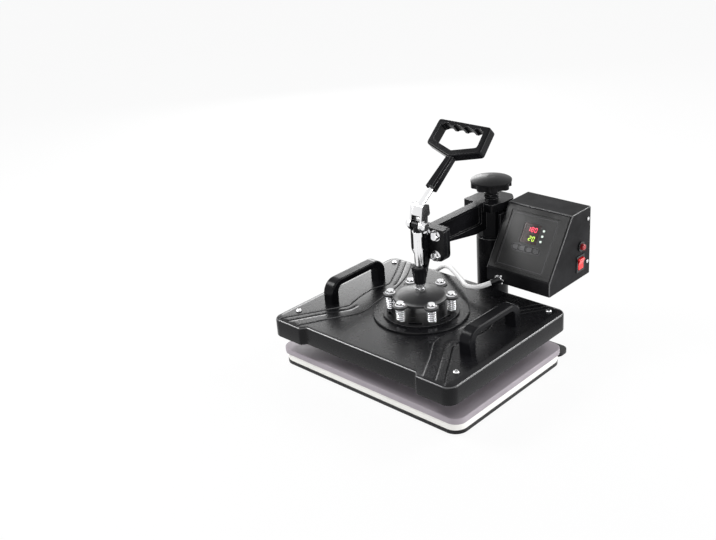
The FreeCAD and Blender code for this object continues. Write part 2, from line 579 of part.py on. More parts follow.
def cover_outline(inset, z):
    """Plan of the cover: a rectangle whose front steps back between two ears."""
    x = COVER_X - inset
    front = COVER_FRONT + inset
    recess = COVER_RECESS + inset
    ear = EAR_IN + inset
    rear = COVER_REAR - inset
    points = [vec(-x, front, z), vec(-ear, front, z), vec(-ear + 7, recess, z), vec(ear - 7, recess, z),
              vec(ear, front, z), vec(x, front, z), vec(x, rear, z), vec(-x, rear, z)]
    radii = [18 - inset, 5, 5, 5, 5, 18 - inset, 18 - inset, 18 - inset]
    return points, radii


def build_cover():
    points, radii = cover_outline(0, COVER_LOW)
    cover = prism(points, radii, vec(0, 0, COVER_TOP - COVER_LOW))
    cover = rounded(cover, 4.0, lambda e: abs(e.CenterOfMass.z - COVER_TOP) < 1e-3)
    points, radii = cover_outline(SHEET, COVER_LOW - 1)
    cavity = prism(points, radii, vec(0, 0, COVER_TOP - SHEET - COVER_LOW + 1))
    low = COVER_TOP - 0.5
    field = [vec(FIELD_OUT, COVER_FRONT + 6, low), vec(FIELD_OUT, COVER_REAR - 6, low),
             vec(FIELD_IN, COVER_REAR - 6, low), vec(FIELD_DISC, PAD_Y + 72, low),
             vec(FIELD_DISC, PAD_Y - 62, low), vec(FIELD_IN, COVER_FRONT + 6, low)]
    right = prism(field, [12, 12, 6, 24, 24, 6], vec(0, 0, PLATEAU + 0.5))
    right = rounded(right, 1.2, lambda e: abs(e.CenterOfMass.z - COVER_TOP - PLATEAU) < 1e-3)
    for sign, far in ((-1, COVER_FRONT + 8), (1, COVER_REAR - 8)):
        near = PAD_Y + sign * 66.0
        groove = pill_plan((160, far), (112, near), 3.2, COVER_TOP, COVER_TOP + 5)
        right = right.cut(groove)
    cover = fuse([cover, right, mirrored(right)])
    cover = cover.cut(cavity)
    screws_at = [(s * 172.0, PAD_Y + y) for y in (-115.0, 131.5) for s in (-1, 1)]
    handle_at = [(s * 149.0, y) for y in (HANDLE_Y0 + 9.5, HANDLE_Y1 - 9.5) for s in (-1, 1)]
    top = COVER_TOP + PLATEAU
    screws = []
    insulation = block(-188, 188, PAD_Y - 134, PAD_Y + 147, PLATE_TOP + 4.5, 88.0)
    plate_y = PAD_Y + 6.5
    plate = slab(PLATE_X, PLATE_Y, plate_y, PLATE_LOW, PLATE_TOP, 12.0)
    for x, y in screws_at:
        hole = upright(x, y, PLATE_TOP - 8, top + 1, COVER_SCREW_R)
        cover = cover.cut(hole)
        insulation = insulation.cut(hole)
        plate = plate.cut(hole)
        crown = Part.makeCone(5.0, 3.4, 1.2, vec(x, y, top + 1.6))
        shank = upright(x, y, PLATE_TOP - 8, top + 0.5, COVER_SCREW_R)
        screws.append(fuse([shank, upright(x, y, top, top + 1.6, 5.0), crown]))
    keep("cover_screws", screws)

    leg_screws = []
    handle = build_handle()
    for x, y in handle_at:
        hole = upright(x, y, 80, 112, COVER_SCREW_R)
        cover = cover.cut(hole)
        handle = handle.cut(hole)
        low = COVER_TOP - SHEET
        shank = upright(x, y, low - 0.5, 112, COVER_SCREW_R)
        leg_screws.append(fuse([shank, upright(x, y, low - 2.5, low, 5.0)]))
    keep("handle_screws", leg_screws)
    keep("handle_right", handle)
    keep("handle_left", mirrored(handle))
    keep("platen_cover", cover)

    heater = heater_loop(plate_y)
    keep("heater_element", heater)
    keep("heating_plate", plate.cut(heater))
    keep("insulation", insulation)


def pill_plan(a, b, r, z0, z1):
    """An upright prism in plan with two round ends."""
    run = vec(b[0] - a[0], b[1] - a[1], 0)
    side = vec(-run.y, run.x, 0).normalize() * r
    tip = vec(run.x, run.y, 0).normalize() * r
    start = vec(a[0], a[1], z0)
    end = vec(b[0], b[1], z0)
    edges = [Part.LineSegment(start - side, end - side).toShape(),
             Part.Arc(end - side, end + tip, end + side).toShape(),
             Part.LineSegment(end + side, start + side).toShape(),
             Part.Arc(start + side, start - tip, start - side).toShape()]
    return Part.Face(Part.Wire(edges)).extrude(vec(0, 0, z1 - z0))


def build_handle():
    low = COVER_TOP + PLATEAU
    outer = side_plate([(HANDLE_Y0, low), (HANDLE_Y0, HANDLE_TOP), (HANDLE_Y1, HANDLE_TOP), (HANDLE_Y1, low)],
                       [0, 25, 25, 0], HANDLE_X0, HANDLE_X1)
    inner = side_plate([(HANDLE_Y0 + 17, low - 1), (HANDLE_Y0 + 17, HANDLE_TOP - 11.5),
                        (HANDLE_Y1 - 17, HANDLE_TOP - 11.5), (HANDLE_Y1 - 17, low - 1)],
                       [0, 12, 12, 0], HANDLE_X0 - 1, HANDLE_X1 + 1)
    bail = outer.cut(inner)
    return rounded(bail, 3.0, lambda e: e.BoundBox.XLength < 1e-3 and e.BoundBox.ZMax > low + 1)


def heater_loop(plate_y):
    """Tubular element, half sunk in the back of the heating plate."""
    rows = [plate_y + HEATER_PITCH * (k - 1.5) for k in range(4)]
    reach, bend = HEATER_HALF, HEATER_PITCH / 2.0
    edges = []
    z = PLATE_TOP
    for i, y in enumerate(rows):
        s = 1 if i % 2 == 0 else -1
        edges.append(Part.LineSegment(vec(-s * reach, y, z), vec(s * reach, y, z)).toShape())
        if i < 3:
            edges.append(Part.Arc(vec(s * reach, y, z), vec(s * (reach + bend), y + bend, z),
                                  vec(s * reach, y + HEATER_PITCH, z)).toShape())
    circle = Part.Circle(vec(-reach, rows[0], z), vec(1, 0, 0), HEATER_R).toShape()
    pipe = Part.BRepOffsetAPI.MakePipeShell(Part.Wire(edges))
    pipe.add(Part.Wire([circle]))
    pipe.build()
    pipe.makeSolid()
    return pipe.shape()


# Lever: fork, rod and open grip


def lever_frame(tilt, origin):
    """Placement whose local Y runs up the lever and local Z stands out of its face."""
    return FreeCAD.Placement(vec(0, origin[0], origin[1]), FreeCAD.Rotation(vec(1, 0, 0), tilt))


def build_lever():
    fy, fz = FULCRUM
    reach = math.hypot(FULCRUM_BACK, STROKE / 2.0)
    aim = math.atan2(STROKE / 2.0, -FULCRUM_BACK)
    far = (fy + reach * math.cos(aim), fz + reach * math.sin(aim))
    near = (fy + FULCRUM_BACK * math.cos(aim), fz + FULCRUM_BACK * math.sin(aim))
    top = (ROD_START[0] + 1.0, ROD_START[1] + 0.5)
    cheeks = []
    for x0, x1 in ((CHEEK_IN, CHEEK_OUT), (-CHEEK_OUT, -CHEEK_IN)):
        cheek = fuse([pill(near, far, 9.5, x0, x1), pill((far[0] + 2, far[1] + 1), top, 7.6, x0, x1)])
        cheeks.append(cheek.cut(pill(near, far, 5.25, x0 - 1, x1 + 1)))
    bridge = side_plate([(PAD_Y + 5, 266.5), (PAD_Y + 30, 264.5), (PAD_Y + 28, 284), (PAD_Y + 9, 289)],
                        4.0, -9.2, 9.2)
    tongue = pill((fy, fz), (PAD_Y + 25.0, 272.0), 4.2, -5.0, 5.0)
    eye = along_x(fy, fz, -5.0, 5.0, 6.6)
    fork = fuse(cheeks + [bridge, tongue, eye]).cut(along_x(fy, fz, -8, 8, FULCRUM_PIN_R + RUN))
    rod = Part.makeCylinder(ROD_R, ROD_LONG, vec(0, 0, 0), vec(0, 1, 0))
    rod.Placement = lever_frame(ROD_TILT, ROD_START)
    keep("lever_fork", fork.cut(rod))
    keep("lever_rod", rod)

    ends = []
    for along, half in ((STEM_FROM, 9.0), (STEM_TO, 7.5)):
        cut = 3.0
        pts = [vec(-half + cut, along, -half), vec(half - cut, along, -half), vec(half, along, -half + cut),
               vec(half, along, half - cut), vec(half - cut, along, half), vec(-half + cut, along, half),
               vec(-half, along, half - cut), vec(-half, along, -half + cut)]
        ends.append(Part.makePolygon(pts + [pts[0]]))
    stem = Part.makeLoft(ends, True, True)
    stem.Placement = lever_frame(ROD_TILT, ROD_START)
    deep = GRIP_THICK / 2.0
    house = [vec(0, -2, -deep), vec(56, 15, -deep), vec(54, 64, -deep),
             vec(-54, 64, -deep), vec(-56, 15, -deep)]
    frame = prism(house, [10, 6, 5, 5, 6], vec(0, 0, GRIP_THICK))
    frame = rounded(frame, 3.0, lambda e: e.BoundBox.ZLength < 1e-3)
    hole = [vec(0, 10, -deep - 1), vec(46, 23.5, -deep - 1), vec(44.5, 53.7, -deep - 1),
            vec(-44.5, 53.7, -deep - 1), vec(-46, 23.5, -deep - 1)]
    opening = prism(hole, [6, 5, 3, 3, 5], vec(0, 0, GRIP_THICK + 2))
    fingers = [upright(-33.0 + 22.0 * k, 46.0, -deep - 1, deep + 1, 11.4) for k in range(4)]
    frame = frame.cut(fuse([opening] + fingers))
    frame.Placement = lever_frame(GRIP_TILT, GRIP_APEX)
    grip = fuse([stem, frame]).cut(rod)
    keep("lever_grip", grip)


# Control box on the arm


def on_slope(shape):
    """Places a shape drawn as x, distance up the slope, height out of the slope."""
    shape.Placement = FreeCAD.Placement(vec(0, BOX_FRONT, BOX_LIP), FreeCAD.Rotation(vec(1, 0, 0), SLOPE))
    return shape


def box_profile(inset, overrun):
    """Side outline of the box. The cavity's outline overruns the rear and the floor."""
    rear, low = BOX_REAR + overrun, BOX_LOW - overrun
    lean = inset * math.tan(math.radians(SLOPE / 2.0)) / 2.0
    return [(BOX_FRONT + inset, low), (BOX_FRONT + inset, BOX_LIP - inset * 0.25),
            (BOX_RIDGE + lean, BOX_TOP - inset), (rear, BOX_TOP - inset), (rear, low)]


def build_box(arm):
    shell = side_plate(box_profile(0.0, 0.0), 0, BOX_X0, BOX_X1)
    shell = shell.cut(side_plate(box_profile(WALL, 10.0), 0, BOX_X0 + WALL, BOX_X1 - WALL))
    shell = shell.cut(on_slope(block(51, 149, 8.5, 108.5, -8, 5)))

    panel = fuse([block(51.2, 148.8, 8.7, 108.3, -3.6, -0.8), block(47, 153, 5.5, 111.5, -3.6, -2.1)])
    window = block(83, 117, 57, 92, -12, 2)
    panel = panel.cut(window)
    for x, y in LEDS_AT:
        panel = panel.cut(upright(x, y, -10, 2, 2.1))
    keys = []
    for x in KEYS_X:
        panel = panel.cut(block(x - KEY_GAP, x + KEY_GAP, KEY_ALONG - KEY_DEEP, KEY_ALONG + KEY_DEEP, -10, 2))
        cap = prism([vec(x - 5, KEY_ALONG - 4, -3.9), vec(x + 5, KEY_ALONG - 4, -3.9),
                     vec(x + 5, KEY_ALONG + 4, -3.9), vec(x - 5, KEY_ALONG + 4, -3.9)], 1.5, vec(0, 0, 3.7))
        collar = block(x - 6.2, x + 6.2, KEY_ALONG - 5.2, KEY_ALONG + 5.2, -5.4, -3.8)
        stem = upright(x, KEY_ALONG, -9.9, -5.0, 2.0)
        keys.append(fuse([cap, collar, stem]))
    keep("face_panel", on_slope(panel))
    for k, key in enumerate(keys):
        keep("key_%d" % (k + 1), on_slope(key))
    module = block(83.2, 116.8, 57.2, 91.8, -10.6, -1.6)
    for low, high in ((76.0, 88.5), (60.5, 73.0)):
        module = module.cut(block(87, 113, low, high, -2.2, 0))
    keep("display_module", on_slope(module))
    keep("indicator_leds", [on_slope(upright(x, y, -10.6, -0.4, 2.0)) for x, y in LEDS_AT])
    keep("controller_board", on_slope(block(56, 144, 14, 103, -12.2, -10.6)))

    # Rear cover and floor in one folded sheet, with two tabs for the side screws
    x0, x1 = BOX_X0 + WALL, BOX_X1 - WALL
    back = fuse([block(x0, x1, BOX_REAR - WALL, BOX_REAR, BOX_LOW, BOX_TOP - WALL),
                 block(x0, x1, BOX_FRONT + WALL, BOX_REAR, BOX_LOW, BOX_LOW + WALL),
                 block(x0, x0 + WALL, BOX_REAR - 16, BOX_REAR, BOX_LOW, 232),
                 block(x1 - WALL, x1, BOX_REAR - 16, BOX_REAR, BOX_LOW, 232)])
    screws = []
    for z in BOX_SCREWS_Z:
        y = PAD_Y + 256.0
        hole = along_x(y, z, BOX_X0 - 5, BOX_X1 + 5, 1.5)
        shell = shell.cut(hole)
        back = back.cut(hole)
        right = fuse([along_x(y, z, BOX_X1 - 6, BOX_X1 + 0.5, 1.5), along_x(y, z, BOX_X1, BOX_X1 + 1.8, 3.3)])
        left = fuse([along_x(y, z, BOX_X0 - 0.5, BOX_X0 + 6, 1.5), along_x(y, z, BOX_X0 - 1.8, BOX_X0, 3.3)])
        screws += [right, left]
    keep("box_screws", screws)

    # Mains inlet in the rear
    ix, iz = INLET
    inlet = fuse([block(ix - 14, ix + 14, BOX_REAR - 20, BOX_REAR + 0.5, iz - 10.5, iz + 10.5),
                  block(ix - 24, ix + 24, BOX_REAR, BOX_REAR + 1.5, iz - 12.5, iz + 12.5)])
    inlet = inlet.cut(block(ix - 12, ix + 12, BOX_REAR - 16, BOX_REAR + 3, iz - 8, iz + 8))
    pins = [block(ix + dx - 1, ix + dx + 1, BOX_REAR - 17, BOX_REAR - 3, iz + dz - 2, iz + dz + 2)
            for dx, dz in ((-7, -2), (7, -2), (0, 3))]
    back = back.cut(block(ix - 14, ix + 14, BOX_REAR - 5, BOX_REAR + 5, iz - 10.5, iz + 10.5))
    keep("power_inlet", fuse([inlet] + pins))
    keep("box_back", back)

    # Rocker switch and reset button in the right wall
    sy, sz = SWITCH_Y, SWITCH_Z
    shell = shell.cut(block(BOX_X1 - 5, BOX_X1 + 5, sy - 10, sy + 10, sz - 13, sz + 13))
    housing = fuse([block(BOX_X1 - 17, BOX_X1 + 0.5, sy - 10, sy + 10, sz - 13, sz + 13),
                    block(BOX_X1, BOX_X1 + 1.6, sy - 12, sy + 12, sz - 15, sz + 15)])
    cave = block(BOX_X1 - 12, BOX_X1 + 3, sy - 8.2, sy + 8.2, sz - 11.6, sz + 11.6)
    axle = along_y(BOX_X1 - 4, sz, sy - 9.2, sy + 9.2, 1.6)
    keep("switch_housing", housing.cut(cave).cut(along_y(BOX_X1 - 4, sz, sy - 9.5, sy + 9.5, 1.6 + RUN)))
    wedge = prism([vec(BOX_X1 + 4.4, sy - 7.8, sz - 10.2), vec(BOX_X1 + 2.0, sy - 7.8, sz),
                   vec(BOX_X1 + 4.4, sy - 7.8, sz + 10.2), vec(BOX_X1 - 3, sy - 7.8, sz + 10.2),
                   vec(BOX_X1 - 7, sy - 7.8, sz), vec(BOX_X1 - 3, sy - 7.8, sz - 10.2)],
                  [1.5, 12, 1.5, 1.5, 6, 1.5], vec(0, 15.6, 0))
    paddle = fuse([wedge, axle])
    paddle.rotate(vec(BOX_X1 - 4, sy, sz), vec(0, 1, 0), 9.0)
    keep("rocker_switch", paddle)
    ry, rz = RESET_Y, RESET_Z
    shell = shell.cut(along_x(ry, rz, BOX_X1 - 5, BOX_X1 + 5, 7.5))
    bezel = fuse([along_x(ry, rz, BOX_X1 - 16, BOX_X1 + 1, 7.5), along_x(ry, rz, BOX_X1, BOX_X1 + 3.0, 9.0)])
    keep("reset_bezel", bezel.cut(along_x(ry, rz, BOX_X1 - 11, BOX_X1 + 5, 5.5)))
    button = along_x(ry, rz, BOX_X1 - 7, BOX_X1 + 8.5, 5.5 - RUN)
    button = rounded(button, 2.0, lambda e: abs(e.CenterOfMass.x - BOX_X1 - 8.5) < 1e-3)
    keep("reset_button", button)

    # Cable connector low in the front lip
    cx, cy, cz = CONNECTOR
    shell = shell.cut(along_y(cx, cz, cy - 5, cy + 5, 6.0))
    aim = vec(*CABLE_AIM).normalize()
    root = vec(cx, cy - 4.0, cz)
    nose = Part.makeCone(6.0, 5.0, 15.0, root, aim)
    barrel = fuse([along_y(cx, cz, cy - 1, cy + 9, 6.0), hexagon((cx, cy, cz), (0, -1, 0), 19.0, 5.0),
                   Part.makeSphere(6.0, root), nose])
    keep("cable_connector", barrel)
    keep("box_shell", shell)

    bracket = fuse([block(20, BOX_X0, POST_Y - 12, POST_Y + 12, 190, 221),
                    block(BOX_X0 - 4, BOX_X0, POST_Y - 26, POST_Y + 30, 182, 221.5)])
    keep("box_bracket", bracket.cut(arm))
    return root + aim * 15.0


# White cable from the control box to the hot platen


def cord_path(points):
    """Straight runs joined by tangent arcs, each as large as its two runs allow."""
    edges = []
    radii = []
    last = points[0]
    for i in range(1, len(points) - 1):
        back = (points[i - 1] - points[i])
        ahead = (points[i + 1] - points[i])
        shorter = min(back.Length, ahead.Length)
        back.normalize()
        ahead.normalize()
        half_turn = (math.pi - back.getAngle(ahead)) / 2.0
        reach = 0.45 * shorter
        radius = reach / math.tan(half_turn)
        radii.append(radius)
        first = points[i] + back * reach
        end = points[i] + ahead * reach
        inward = (back + ahead).normalize()
        middle = points[i] + inward * (radius / math.cos(half_turn) - radius)
        edges.append(Part.LineSegment(last, first).toShape())
        edges.append(Part.Arc(first, middle, end).toShape())
        last = end
    edges.append(Part.LineSegment(last, points[-1]).toShape())
    return Part.Wire(edges), radii


def build_cable(exit_point):
    aim = vec(*CABLE_AIM).normalize()
    route = [exit_point,
             exit_point + aim * 24.0,
             vec(18.2, PAD_Y + 106.15, 108.5),
             vec(0.0, PAD_Y + 121.25, 107.2),
             vec(-26.0, PAD_Y + 137.25, 106.8),
             vec(-50.0, PAD_Y + 152.25, 106.8),
             vec(-72.0, PAD_Y + 163.75, 103.4),
             vec(-89.0, PAD_Y + 166.85, 94.5),
             vec(-102.0, PAD_Y + 166.85, 81.5)]
    wire, radii = cord_path(route)
    first = route[1] - route[0]
    circle = Part.Circle(route[0], first, CABLE_R).toShape()
    pipe = Part.BRepOffsetAPI.MakePipeShell(wire)
    pipe.add(Part.Wire([circle]))
    pipe.build()
    pipe.makeSolid()
    tube = pipe.shape()
    section = math.pi * CABLE_R * CABLE_R
    print("cable radii", ["%.1f" % r for r in radii])
    print("cable runs", ["%.1f" % (b - a).Length for a, b in zip(route, route[1:])])
    print("cable length %.1f mm, volume ratio %.4f" % (wire.Length, tube.Volume / (section * wire.Length)))
    print("cable route", [(round(p.x, 2), round(p.y, 2), round(p.z, 2)) for p in route])
    keep("heater_cable", tube)

    # Gland on the back of the cover, in line with the end of the cable
    tip = route[-1]
    line = (route[-1] - route[-2]).normalize()
    spigot = Part.makeCone(5.6, 8.0, 12.0, tip, line)
    foot = block(tip.x - 18, tip.x - 2, COVER_REAR, COVER_REAR + 18, tip.z - 17, tip.z - 4)
    keep("cable_gland", fuse([spigot, foot]))


build_base()
build_post()
ARM = build_arm()
build_platen()
build_lever()
CABLE_EXIT = build_box(ARM)
build_cable(CABLE_EXIT)

os.makedirs("parts", exist_ok=True)
for stale in os.listdir("parts"):
    if stale.endswith(".step") and stale[:-5] not in PARTS:
        os.remove(os.path.join("parts", stale))
whole = Part.makeCompound(list(PARTS.values()))
for node, shape in PARTS.items():
    shape.exportStep(os.path.join("parts", node + ".step"))
box = whole.BoundBox
print("nodes", len(PARTS), "box x %.2f..%.2f y %.2f..%.2f z %.2f..%.2f"
      % (box.XMin, box.XMax, box.YMin, box.YMax, box.ZMin, box.ZMax))
print("lever turn %.2f degrees, fulcrum y %.3f z %.3f" % (LEVER_TURN, FULCRUM[0], FULCRUM[1]))
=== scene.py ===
import json
import math
import bmesh
import bpy
from mathutils import Matrix, Vector
from mathutils.geometry import delaunay_2d_cdt
from mathutils.kdtree import KDTree


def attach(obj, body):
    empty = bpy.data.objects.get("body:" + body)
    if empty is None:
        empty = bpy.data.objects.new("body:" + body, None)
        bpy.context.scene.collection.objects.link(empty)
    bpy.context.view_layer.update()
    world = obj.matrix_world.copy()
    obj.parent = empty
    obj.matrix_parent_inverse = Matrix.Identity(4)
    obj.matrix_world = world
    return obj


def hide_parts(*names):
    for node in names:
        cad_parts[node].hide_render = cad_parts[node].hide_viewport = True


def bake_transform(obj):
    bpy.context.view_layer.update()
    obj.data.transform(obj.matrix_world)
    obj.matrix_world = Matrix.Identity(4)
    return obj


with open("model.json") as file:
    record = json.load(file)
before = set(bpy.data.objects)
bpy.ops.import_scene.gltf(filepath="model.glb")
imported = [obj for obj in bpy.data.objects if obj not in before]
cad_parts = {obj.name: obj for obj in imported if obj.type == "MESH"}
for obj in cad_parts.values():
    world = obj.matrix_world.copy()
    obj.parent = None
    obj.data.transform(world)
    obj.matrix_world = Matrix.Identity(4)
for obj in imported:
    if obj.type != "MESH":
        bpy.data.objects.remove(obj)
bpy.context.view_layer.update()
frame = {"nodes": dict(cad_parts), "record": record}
NODES = frame["nodes"]
BODY_OF = {n: b for b, ns in frame["record"]["behaviour"]["bodies"].items() for n in ns}
SLOT_OF = {s["node"]: s["material_slot"] for s in frame["record"]["subparts"]}
MM = 0.001
PAD_Y = -54.25
COVER_TOP, COVER_LOW = 93.6, 62.0
FOAM_LOW, FOAM_TOP, SILICONE_TOP = 9.0, 21.5, 32.6
BOX_FRONT, BOX_RIDGE = PAD_Y + 141.0, PAD_Y + 208.0
BOX_LIP, BOX_TOP = 139.0, 239.0
CONNECTOR_NECK = BOX_FRONT - 5.5

# Camera, fitted to the photo: PHOTO_WIDE to CENTRE_Y are pixels

PHOTO_WIDE, PHOTO_HIGH = 716.0, 540.0
FOCAL_LENGTH = 984.0
CENTRE_X, CENTRE_Y = 387.8, 247.3
CAMERA_AT = (0.9846, -1.15715, 0.8521)
FILM_WIDE = 36.0
YAW, PITCH, ROLL = math.radians(43.5), math.radians(23.2), math.radians(-3.5)
forward = Vector((-math.sin(YAW) * math.cos(PITCH), math.cos(YAW) * math.cos(PITCH), -math.sin(PITCH)))
level = forward.cross(Vector((0, 0, 1))).normalized()
upward = level.cross(forward)
cam_x = level * math.cos(ROLL) + upward * math.sin(ROLL)
cam_y = upward * math.cos(ROLL) - level * math.sin(ROLL)
cam_data = bpy.data.cameras.new("camera")
camera = bpy.data.objects.new("camera", cam_data)
bpy.context.scene.collection.objects.link(camera)
turn = Matrix((cam_x, cam_y, -forward)).transposed()
camera.matrix_world = Matrix.Translation(CAMERA_AT) @ turn.to_4x4()
cam_data.sensor_width = FILM_WIDE
cam_data.lens = FOCAL_LENGTH / PHOTO_WIDE * FILM_WIDE
cam_data.shift_x = -(CENTRE_X - PHOTO_WIDE / 2) / PHOTO_WIDE
cam_data.shift_y = -(PHOTO_HIGH / 2 - CENTRE_Y) / PHOTO_WIDE
cam_data.clip_start, cam_data.clip_end = 0.05, 60.0
bpy.context.scene.camera = camera
bpy.context.scene.view_settings.view_transform = "Standard"

# Materials


def graph(name):
    mat = bpy.data.materials.new(name)
    mat.use_nodes = True
    tree = mat.node_tree
    return mat, tree, tree.nodes["Principled BSDF"]


def noise(tree, scale, detail=3.0):
    coord = tree.nodes.new("ShaderNodeTexCoord")
    tex = tree.nodes.new("ShaderNodeTexNoise")
    tex.inputs["Scale"].default_value = scale
    tex.inputs["Detail"].default_value = detail
    tree.links.new(coord.outputs["Object"], tex.inputs["Vector"])
    return tex.outputs["Fac"]


def ramp(tree, value, low, high, at=(0.35, 0.65)):
    node = tree.nodes.new("ShaderNodeValToRGB")
    node.color_ramp.elements[0].position = at[0]
    node.color_ramp.elements[0].color = (*low, 1)
    node.color_ramp.elements[1].position = at[1]
    node.color_ramp.elements[1].color = (*high, 1)
    tree.links.new(value, node.inputs["Fac"])
    return node.outputs["Color"]


def span(tree, value, low, high):
    node = tree.nodes.new("ShaderNodeMapRange")
    node.inputs["From Min"].default_value = 0.3
    node.inputs["From Max"].default_value = 0.7
    node.inputs["To Min"].default_value = low
    node.inputs["To Max"].default_value = high
    tree.links.new(value, node.inputs["Value"])
    return node.outputs["Result"]


def bump(tree, height, strength, distance):
    node = tree.nodes.new("ShaderNodeBump")
    node.inputs["Strength"].default_value = strength
    node.inputs["Distance"].default_value = distance
    tree.links.new(height, node.inputs["Height"])
    return node.outputs["Normal"]


def wear_and_highlight(tree, colour, edge, amount):
    """Lightens the colour on convex edges."""
    # Partly rubbed paint, partly a painted highlight: convex edges get a lighter colour that stands in for the gloss
    # rounded edges catch.
    geometry = tree.nodes.new("ShaderNodeNewGeometry")
    wear_and_highlight_mask = tree.nodes.new("ShaderNodeMapRange")
    wear_and_highlight_mask.inputs["From Min"].default_value = 0.53
    wear_and_highlight_mask.inputs["From Max"].default_value = 0.66
    wear_and_highlight_mask.inputs["To Max"].default_value = amount
    tree.links.new(geometry.outputs["Pointiness"], wear_and_highlight_mask.inputs["Value"])
    mix = tree.nodes.new("ShaderNodeMix")
    mix.data_type = "RGBA"
    mix.inputs["B"].default_value = (*edge, 1)
    tree.links.new(wear_and_highlight_mask.outputs["Result"], mix.inputs["Factor"])
    tree.links.new(colour, mix.inputs["A"])
    return mix.outputs["Result"]


def paint(name, base, rough, grain=900.0, depth=0.00012, strength=0.25, spec=0.5, edge=0.12, vary=0.35,
          metallic=0.0, coat=0.0, uneven=0.15):
    """A solid colour with large soft blotches, an uneven gloss and a fine grain, lighter on edges where asked: rubbed
    paint and a painted highlight.
    """
    mat, tree, bsdf = graph(name)
    dark = tuple(c * (1 - vary) for c in base)
    light = tuple(min(1.0, c * (1 + vary)) for c in base)
    colour = ramp(tree, noise(tree, 22.0, 5.0), dark, light)
    # Lighter colour on convex edges: partly rubbed paint, partly a painted highlight.
    if edge:
        colour = wear_and_highlight(tree, colour, tuple(min(1.0, c * 2.2 + 0.05) for c in base), edge)
    tree.links.new(colour, bsdf.inputs["Base Color"])
    gloss = span(tree, noise(tree, 60.0, 4.0), rough * (1 - uneven), min(1.0, rough * (1 + uneven)))
    tree.links.new(gloss, bsdf.inputs["Roughness"])
    tree.links.new(bump(tree, noise(tree, grain, 2.0), strength, depth), bsdf.inputs["Normal"])
    bsdf.inputs["Specular IOR Level"].default_value = spec
    bsdf.inputs["Metallic"].default_value = metallic
    bsdf.inputs["Coat Weight"].default_value = coat
    bsdf.inputs["Coat Roughness"].default_value = 0.25
    return mat


def glow(name, base, emission, power):
    mat, tree, bsdf = graph(name)
    colour = ramp(tree, noise(tree, 400.0, 2.0), tuple(c * 0.8 for c in base), base)
    tree.links.new(colour, bsdf.inputs["Base Color"])
    bsdf.inputs["Roughness"].default_value = 0.3
    bsdf.inputs["Emission Color"].default_value = (*emission, 1)
    bsdf.inputs["Emission Strength"].default_value = power
    return mat


MATERIALS = {
    "base_black": paint("base_black", (0.008, 0.008, 0.009), 0.3, spec=0.25),
    "cover_black": paint("cover_black", (0.006, 0.006, 0.007), 0.27, grain=500.0, depth=0.00005, strength=0.12,
                         spec=0.17, edge=0.0, vary=0.12, uneven=0.04),
    "cast_black": paint("cast_black", (0.006, 0.006, 0.007), 0.24, grain=420.0, depth=0.00012, strength=0.25,
                        spec=0.13, edge=0.0),
    "box_black": paint("box_black", (0.014, 0.014, 0.015), 0.42, grain=1500.0, depth=0.0001, strength=0.3, spec=0.04,
                       edge=0.0),
    "chrome": paint("chrome", (0.86, 0.86, 0.87), 0.07, grain=300.0, depth=0.00002, strength=0.06, edge=0.0,
                    vary=0.03, metallic=1.0),
    "zinc_steel": paint("zinc_steel", (0.72, 0.72, 0.73), 0.22, grain=500.0, depth=0.00005, strength=0.15, edge=0.0,
                        vary=0.08, metallic=1.0),
    "spring_steel": paint("spring_steel", (0.85, 0.85, 0.87), 0.14, grain=600.0, depth=0.00004, strength=0.1,
                          edge=0.0, vary=0.05, metallic=1.0),
    "heating_aluminium": paint("heating_aluminium", (0.16, 0.16, 0.165), 0.45, spec=0.4, metallic=0.4, edge=0.0),
    "grip_black": paint("grip_black", (0.005, 0.005, 0.006), 0.2, grain=1100.0, depth=0.00004, strength=0.12,
                        spec=0.1, edge=0.0),
    "knob_black": paint("knob_black", (0.009, 0.009, 0.01), 0.34, grain=1300.0, depth=0.00006, strength=0.2,
                        spec=0.08, edge=0.06),
    "foot_rubber": paint("foot_rubber", (0.01, 0.01, 0.01), 0.75, spec=0.3),
    "insulation": paint("insulation", (0.7, 0.68, 0.62), 0.9, grain=260.0, depth=0.0006, strength=0.8, edge=0.0),
    "bronze": paint("bronze", (0.16, 0.12, 0.08), 0.35, metallic=1.0, edge=0.0, vary=0.15),
    "heater": paint("heater", (0.3, 0.26, 0.22), 0.4, metallic=0.9, edge=0.0),
    "panel_film": paint("panel_film", (0.042, 0.042, 0.042), 0.34, grain=1800.0, depth=0.00004, strength=0.2,
                        spec=0.2, edge=0.0, vary=0.1),
    "key_grey": paint("key_grey", (0.07, 0.07, 0.073), 0.36, grain=1500.0, spec=0.3, edge=0.0),
    "display_dark": paint("display_dark", (0.03, 0.012, 0.012), 0.15, grain=100.0, strength=0.02, edge=0.0),
    "led_clear": glow("led_clear", (0.75, 0.8, 0.75), (0.8, 1.0, 0.85), 0.5),
    "switch_black": paint("switch_black", (0.008, 0.008, 0.009), 0.2, spec=0.4, edge=0.08),
    "switch_red": paint("switch_red", (0.72, 0.012, 0.014), 0.2, grain=300.0, strength=0.05, edge=0.0, vary=0.1,
                        coat=0.3),
    "board_green": paint("board_green", (0.02, 0.14, 0.05), 0.4, edge=0.0),
    "cable_white": paint("cable_white", (0.93, 0.93, 0.92), 0.4, grain=900.0, depth=0.0001, strength=0.3, edge=0.0,
                         vary=0.03),
    "silicone": paint("silicone", (0.35, 0.315, 0.345), 0.5, grain=1400.0, depth=0.0001, strength=0.3, spec=0.4,
                      edge=0.0, vary=0.06),
    "foam": paint("foam", (0.93, 0.92, 0.88), 0.9, grain=1600.0, depth=0.0003, strength=0.5, spec=0.2, edge=0.0,
                  vary=0.03),
}
